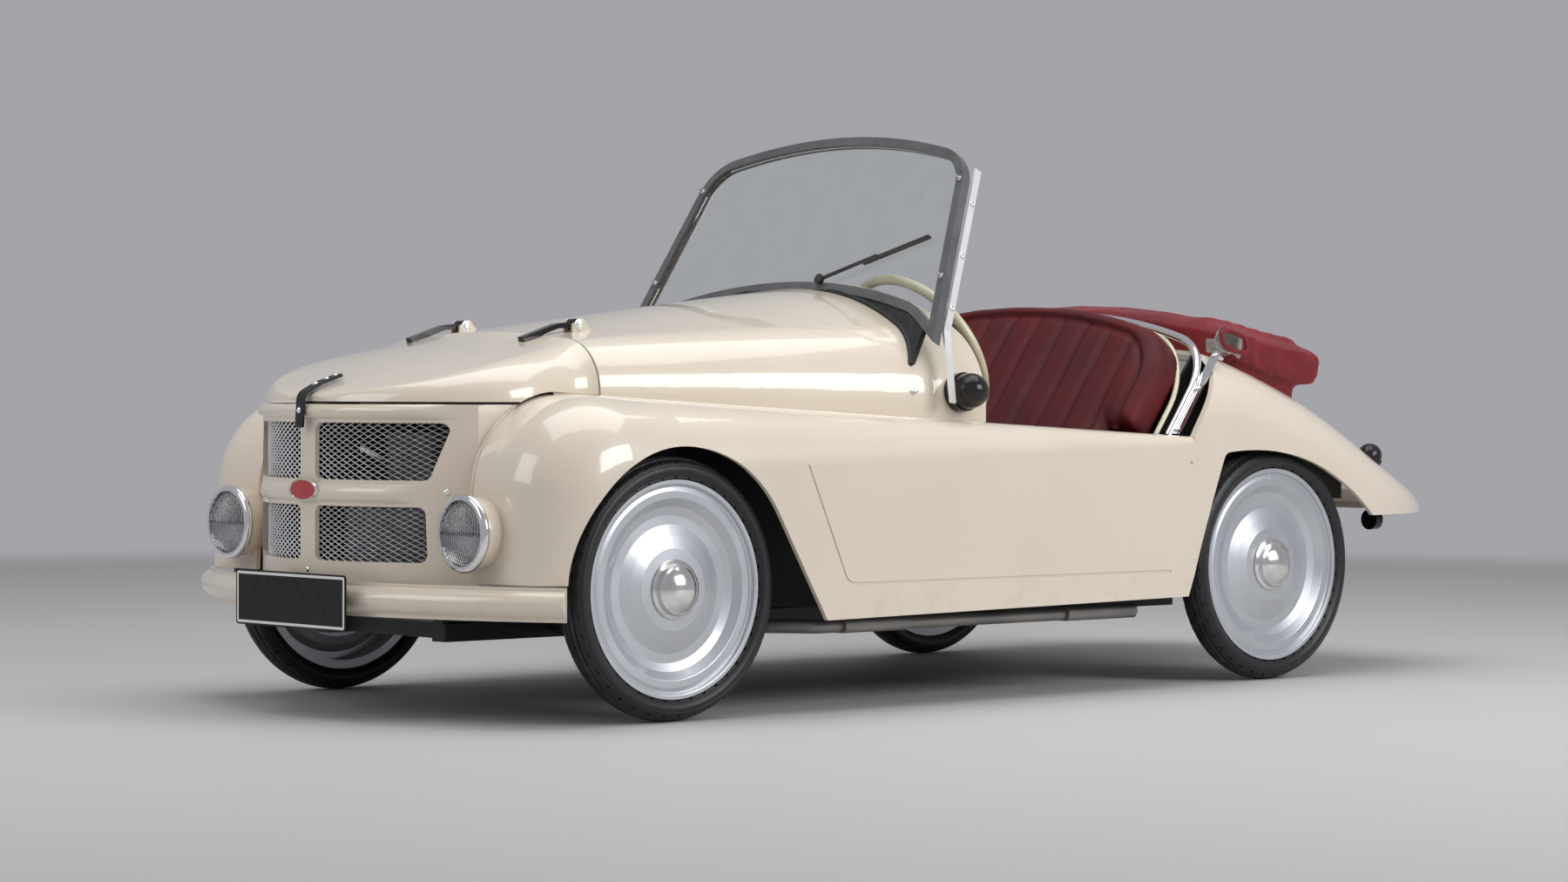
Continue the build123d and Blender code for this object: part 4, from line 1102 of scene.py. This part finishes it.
# windscreen: drawn out from the solid to wider feet and a higher bottom rail
screenShape = {
    "base": (0.178, 0.0, 0.800),
    "up": (-0.4327, 0.0, 0.9015),
    "normal": (0.9015, 0.0, 0.4327),
    "solidFoot": (0.448, -0.090),
    "solidHead": (0.396, 0.340),
    "solidLow": 0.038,
    "foot": (0.492, -0.090),
    "rail": (0.398, -0.024),
    "head": (0.402, 0.340),
    "low": 0.035,
    "liftFade": (0.03, 0.2),
    "paneThick": 0.005,
    "paneMid": 0.25,
    "stayShift": [(0.34, 0.008), (0.0, 0.030), (-0.04, 0.023), (-0.19, -0.021)],
    "sealHalf": 0.462,
    "sealLap": 0.004,
    "sealLean": 0.002,
    "sealThick": 0.013,
    "sealRoll": 0.0055,
    "sealStations": 60,
    "hookRises": (0.285, 0.06),
    "hookIn": 0.010,
    "hookOut": 0.0108,
    "stayRises": (0.24, 0.12, 0.0),
    "stayOut": -0.022,
}


def onScreen(across, rise, out=0.0):
    base = Vector(screenShape["base"])
    spot = base + Vector(screenShape["up"]) * rise + Vector(screenShape["normal"]) * out
    return spot + Vector((0, across, 0))


def screenRise(spot):
    return (spot - Vector(screenShape["base"])).dot(Vector(screenShape["up"]))


def archRise(across, half, low, end):
    drop = low - end
    bow = (half**2 + drop**2) / (2 * drop)
    return low - bow + math.sqrt(bow * bow - across * across)


# lower edge of the frame: a shallow arch, then two short straights to the feet
def railRise(across, shape):
    y = abs(across)
    if y <= shape["rail"][0]:
        return archRise(y, shape["rail"][0], shape["low"], shape["rail"][1])
    part = (y - shape["rail"][0]) / (shape["foot"][0] - shape["rail"][0])
    return shape["rail"][1] + part * (shape["foot"][1] - shape["rail"][1])


# a copy of a solid with each point moved by a rule
def redraw(nodeName, rule, shape, merged=False):
    piece = copySolid(nodeName)
    if merged:
        pickOnly(piece)
        bpy.ops.mesh.customdata_custom_splitnormals_clear()
        cleanShell(piece)
    for vertex in piece.data.vertices:
        vertex.co = rule(vertex.co.copy(), shape)
    return piece


# the pane is one flat sheet cut to the redrawn edge
def cutPane(shape):
    edge = {}
    for vertex in nodes["windscreen_glass"].data.vertices:
        spot = widenScreen(vertex.co.copy(), shape)
        turn = math.atan2(screenRise(vertex.co) - shape["paneMid"], vertex.co.y)
        edge[(round(spot.y, 4), round(screenRise(spot), 4))] = turn
    order = sorted(edge, key=edge.get)
    clearPick()
    bpy.ops.mesh.primitive_circle_add(vertices=len(order), radius=1.0, fill_type="NGON")
    pane = bpy.context.object
    ring = sorted(pane.data.vertices, key=lambda vertex: math.atan2(vertex.co.y, vertex.co.x))
    for vertex, (across, rise) in zip(ring, order):
        vertex.co = onScreen(across, rise)
    thicken(pane, shape["paneThick"])
    cleanShell(pane)
    return pane


# the frame's feet stand wider apart than on the solid, and its bottom rail keeps higher
def widenScreen(spot, shape):
    rise = screenRise(spot)
    solidHalf, solidEnd = shape["solidFoot"]
    part = (rise - solidEnd) / (shape["solidHead"][1] - solidEnd)
    wide = shape["foot"][0] / solidHalf
    narrow = shape["head"][0] / shape["solidHead"][0]
    across = spot.y * (wide + (narrow - wide) * part)
    old = archRise(min(abs(spot.y), solidHalf), solidHalf, shape["solidLow"], solidEnd)
    lift = (railRise(across, shape) - old) * (1 - smoothStep(rise - old, *shape["liftFade"]))
    return Vector((spot.x, across, spot.z)) + Vector(shape["up"]) * lift


def shiftStay(spot, shape):
    rise = screenRise(spot)
    table = shape["stayShift"]
    move = table[-1][1]
    for (high, first), (low, second) in zip(table, table[1:]):
        if low <= rise <= high:
            move = second + (first - second) * (rise - low) / (high - low)
    return spot + Vector((0, math.copysign(move, spot.y), 0))


def drawScreen(shape):
    outer = redraw("windscreen_frame", widenScreen, shape)
    dress(outer, "screen-frame", "frameGrey", ("windscreen_frame",), None)
    pane = cutPane(shape)
    dress(pane, "screen-pane", "screenGlass", ("windscreen_glass",), 35.0)
    stays = redraw("windscreen_stays", shiftStay, shape, True)
    dress(stays, "screen-stays", "brightStrip", ("windscreen_stays",), 35.0)
    return stays


# rubber skirt that closes the gap between the frame and the cowl
def fitSeal(shape):
    count = shape["sealStations"]
    lap = shape["sealLap"]
    rows = []
    for step in range(count + 1):
        across = (step / count * 2 - 1) * shape["sealHalf"]
        top = railRise(across, shape) + lap
        hit = meet(nodes["cowl"], onScreen(across, probeFrom["screenRise"]), -Vector(shape["up"]))
        if hit and screenRise(hit[0]) < top:
            rows.append((across, top, screenRise(hit[0])))
    clearPick()
    bpy.ops.mesh.primitive_grid_add(x_subdivisions=len(rows) - 1, y_subdivisions=1, size=1)
    seal = bpy.context.object
    order = sorted(seal.data.vertices, key=lambda vertex: (vertex.co.y, vertex.co.x))
    for (across, top, floor), low, high in zip(rows, order[:len(rows)], order[len(rows):]):
        low.co = onScreen(across, floor - lap, shape["sealLean"])
        high.co = onScreen(across, top)
    cleanShell(seal)
    thicken(seal, shape["sealThick"])
    lip = [onScreen(across, floor, shape["sealThick"] / 2) for across, top, floor in rows]
    seal = joinUp([seal, bendBar(lip, shape["sealRoll"])])
    dress(seal, "windscreen-seal", "strapRubber")


def fitScreenStuds(shape, stays):
    half, top = shape["head"]
    slope = (shape["foot"][0] - half) / (top - shape["foot"][1])
    hooks = []
    for rise in shape["hookRises"]:
        across = half + slope * (top - rise) - shape["hookIn"]
        hooks.append((onScreen(across, rise, shape["hookOut"]), Vector(shape["normal"])))
    setRow("frame-hooks", "hook", bothSides(hooks))
    starts = [onScreen(probeFrom["side"], rise, shape["stayOut"]) for rise in shape["stayRises"]]
    setRow("stay-screws", "screw", bothSides(meetAll(stays, starts, (0, -1, 0))))


screenStays = drawScreen(screenShape)
fitSeal(screenShape)
fitScreenStuds(screenShape, screenStays)
print("roadster: windscreen trimmed")

# front panel: the ribs sink into the sheet towards their ends
ribShape = {
    "leastProud": 0.0003,
    "bar": 0.030,
    "panelEdge": 0.342,
    "split": 0.5,
    "lowFade": (0.20, 0.268),
    "highFade": (0.25, 0.332),
}


def sinkRib(spot, shape):
    out = Vector((spot.x - noseBend["middleX"], spot.y, 0))
    proud = out.length - noseBend["sheet"]
    across = abs(spot.y)
    if proud < shape["leastProud"] or not shape["bar"] <= across <= shape["panelEdge"]:
        return spot
    fade = shape["lowFade"] if spot.z < shape["split"] else shape["highFade"]
    return spot - out.normalized() * (proud * smoothStep(across, *fade))


panel = redraw("front_panel", sinkRib, ribShape)
dress(panel, "nose-panel", None, ("front_panel",), None)

# blank oval badge on the crossing of the front panel's ribs
badgeShape = {
    "place": (1.4185, 0.0, 0.4335),
    "size": (0.096, 0.042),
    "rim": [
        (0.0, 0.0), (0.0, 1.0), (0.0018, 1.0), (0.0042, 0.95), (0.0042, 0.88), (0.0026, 0.84), (0.0026, 0.0),
    ],
    "face": [(0.0022, 0.0), (0.0022, 0.85), (0.0030, 0.84), (0.0036, 0.6), (0.0038, 0.0)],
    "steps": 48,
}


def turnOval(line, shape):
    points = [Vector((0, radius, out)) for out, radius in line]
    piece = turnRound(points, (0, 0, 0), (0, 0, 1), shape["steps"])
    oval = Matrix.Diagonal((shape["size"][0] / 2, shape["size"][1] / 2, 1.0, 1.0))
    stand = Matrix(((0, 0, 1, 0), (1, 0, 0, 0), (0, 1, 0, 0), (0, 0, 0, 1)))
    piece.data.transform(Matrix.Translation(shape["place"]) @ stand @ oval)
    return piece


def fitBadge(shape):
    rim = turnOval(shape["rim"], shape)
    face = turnOval(shape["face"], shape)
    dress(rim, "badge-rim", "chromeTrim", (), 30.0)
    dress(face, "badge-face", "redEnamel", (), 30.0)


fitBadge(badgeShape)

# screws on the front panel, lamp clamps, side hooks
screwShape = {
    "panel": [(0.3130, 0.600), (0.2996, 0.4323), (0.0, 0.281)],
    "lampClamp": (1.327, 0.382, 0.2935),
    "cowlHook": (0.2485, 0.6, 0.6232),
    "rearHook": (-0.4415, 0.7, 0.4735),
    "rearSunk": 0.0114,
}


def fitScrews(shape):
    starts = []
    for across, rise in shape["panel"]:
        for side in (1, -1) if across else (1,):
            starts.append((probeFrom["front"], side * across, rise))
    setRow("panel-screws", "screw", meetAll(panel, starts, (-1, 0, 0)))
    clamp = (Vector(shape["lampClamp"]), Vector((0, 0, -1)))
    setRow("lamp-clamps", "bolt", bothSides([clamp]), "brightStrip")
    cowlHook = meet(nodes["cowl"], shape["cowlHook"], (0, -1, 0))
    spot, normal = meet(nodes["side_left"], shape["rearHook"], (0, -1, 0))
    rearHook = (spot - normal * shape["rearSunk"], normal)
    setRow("side-hooks", "hook", bothSides([cowlHook, rearHook]))


fitScrews(screwShape)

# bonnet: pivot bolts on the brackets, rivets on the strap
bonnetShape = {
    "pivot": (0.905, 0.181, 0.753),
    "ear": 0.0172,
    "rivetRun": (1.345, 1.366, 1.392),
    "frontRivet": 0.585,
}


def fitBonnetTrim(shape):
    x, y, z = shape["pivot"]
    bolts = []
    for side in (1, -1):
        for face in (1, -1):
            bolts.append((Vector((x, side * y + face * shape["ear"], z)), Vector((0, face, 0))))
    setRow("bonnet-pivots", "bolt", bolts, "brightStrip")
    strap = nodes["bonnet_strap"]
    rivets = meetAll(strap, [(along, 0.0, probeFrom["top"]) for along in shape["rivetRun"]], (0, 0, -1))
    rivets += meetAll(strap, [(probeFrom["front"], 0.0, shape["frontRivet"])], (-1, 0, 0))
    setRow("strap-rivets", "screw", rivets, body="bonnet")


fitBonnetTrim(bonnetShape)

# bead along the seam between fender and front panel
weltShape = {"across": 0.3475, "low": 0.285, "high": 0.592, "radius": 0.0034, "stations": 28}


def fitWelt(shape):
    beads = []
    for side, fender in ((1, "side_left"), (-1, "side_right")):
        starts = []
        for step in range(shape["stations"] + 1):
            z = shape["low"] + (shape["high"] - shape["low"]) * step / shape["stations"]
            starts.append((probeFrom["front"], side * shape["across"], z))
        line = [spot for spot, normal in meetAll(nodes[fender], starts, (-1, 0, 0))]
        beads.append(bendBar(line, shape["radius"]))
    dress(joinUp(beads), "fender-welts", "creamPaint", (), 50.0)


fitWelt(weltShape)
print("roadster: small fittings set")

# cream piping between seat back and bow, rivets and pins on the flat links
bowShape = {
    "gap": 0.0085,
    "piping": 0.0055,
    "pipingOut": 0.004,
    "stations": 90,
    "startDeg": -14,
    "sweepDeg": 208,
    "middleRise": 0.1,
    "searchReach": (0.05, 0.9),
    "halvings": 40,
    "linkHalf": 0.538,
    "linkMid": 0.130,
    "linkReach": 0.098,
    "linkOut": -0.0181,
    "rivets": (-1, 0.1, 1),
    "pinOut": -0.020,
    "pinRun": (-0.055, -0.03, -0.006),
    "pin": 0.0042,
}


def onBack(across, rise, out):
    spot = Vector(seatShape["backFoot"]) + Vector(seatShape["backUp"]) * rise
    return spot + Vector(seatShape["backOut"]) * out + Vector((0, across, 0))


# points at an even gap outside the seat back's outline, found by halving
def backOutline(shape):
    line = []
    for step in range(shape["stations"] + 1):
        turn = math.radians(shape["startDeg"] + shape["sweepDeg"] * step / shape["stations"])
        near, far = shape["searchReach"]
        for attempt in range(shape["halvings"]):
            reach = (near + far) / 2
            rise = shape["middleRise"] + reach * math.sin(turn)
            if insideBack(reach * math.cos(turn), rise, seatShape) > -shape["gap"]:
                near = reach
            else:
                far = reach
        line.append((near * math.cos(turn), shape["middleRise"] + near * math.sin(turn)))
    return line


def fitPiping(shape):
    line = [onBack(across, rise, shape["pipingOut"]) for across, rise in backOutline(shape)]
    dress(bendBar(line, shape["piping"]), "seat-piping", "creamPlastic", (), 50.0)
    rivets = []
    pins = []
    for side in (1, -1):
        across = side * shape["linkHalf"]
        for reach in shape["rivets"]:
            spot = onBack(across, shape["linkMid"] + reach * shape["linkReach"], shape["linkOut"])
            rivets.append((spot, Vector(seatShape["backOut"])))
        top = onBack(across, shape["linkMid"] + shape["linkReach"], shape["pinOut"])
        back, inward, down = shape["pinRun"]
        pins.append(bendBar([top, top + Vector((back, side * inward, down))], shape["pin"]))
    setRow("link-rivets", "screw", rivets)
    dress(joinUp(pins), "link-pins", "brightStrip", (), 50.0)


fitPiping(bowShape)
print("roadster: bow piped")

# stage: pale floor running into a grey wall tone, soft lamps
stageLook = {
    "floorTone": tint(0.56, 0.56, 0.57),
    "wallTone": tint(0.37, 0.37, 0.395),
    "floorReach": (5.6, 7.2),
    "floorRadius": 40.0,
    "fill": 0.36,
    "lamps": [
        ("topLamp", (0.3, 0.4, 4.2), (0.1, 0.0, 0.4), (5.0, 3.2), 105.0),
        ("sideLamp", (-1.5, 5.5, 2.8), (-0.1, 0.0, 0.5), (3.2, 2.2), 150.0),
        ("frontLamp", (5.2, -1.2, 2.6), (0.4, 0.0, 0.5), (2.6, 2.2), 40.0),
    ],
}


def setFloor(look):
    clearPick()
    bpy.ops.mesh.primitive_circle_add(vertices=96, radius=look["floorRadius"], fill_type="NGON")
    floor = bpy.context.object
    floor.name = "studio-floor"
    fixed = {"Base Color": look["floorTone"], "Specular IOR Level": 0.25}
    shader, place = startFinish("studioFloor", fixed)
    tree = place.tree
    (place.cloud(3.0, 3.0) * 0.1 + 0.6).feed(shader, "Roughness")
    glow = place.node("ShaderNodeEmission", {}, {"Color": look["wallTone"]})
    away = (place.axis(0) * place.axis(0) + place.axis(1) * place.axis(1)).root()
    share = away.between(*look["floorReach"])
    mixed = place.node("ShaderNodeMixShader", {}, {0: share, 1: Wire(tree, shader.outputs[0]), 2: glow})
    mixed.feed(tree.nodes["Material Output"], "Surface")
    floor.data.materials.append(finishes["studioFloor"])


def setWorld(look):
    world = bpy.data.worlds.new("studioWorld")
    scene.world = world
    world.use_nodes = True
    tree = world.node_tree
    tree.nodes.clear()
    path = tree.nodes.new("ShaderNodeLightPath")
    seen = Wire(tree, path.outputs["Is Camera Ray"])
    seen = seen.atLeast(Wire(tree, path.outputs["Is Glossy Ray"]))
    seen = seen.atLeast(Wire(tree, path.outputs["Is Transmission Ray"]))
    light = {"Color": tint(1.0, 0.99, 0.98), "Strength": look["fill"]}
    lit = seen.node("ShaderNodeBackground", {}, light)
    wall = seen.node("ShaderNodeBackground", {}, {"Color": look["wallTone"]})
    mixed = seen.node("ShaderNodeMixShader", {}, {0: seen, 1: lit, 2: wall})
    mixed.feed(tree.nodes.new("ShaderNodeOutputWorld"), "Surface")


def hangLamps(look):
    for name, place, aim, size, power in look["lamps"]:
        bpy.ops.object.light_add(type="AREA", location=place)
        lamp = bpy.context.object
        lamp.name = name
        lamp.data.shape = "RECTANGLE"
        lamp.data.size = size[0]
        lamp.data.size_y = size[1]
        lamp.data.energy = power
        lamp.rotation_euler = (Vector(aim) - Vector(place)).to_track_quat("-Z", "Y").to_euler()


setFloor(stageLook)
setWorld(stageLook)
hangLamps(stageLook)
scene.view_settings.view_transform = "Standard"
print("roadster: stage lit")
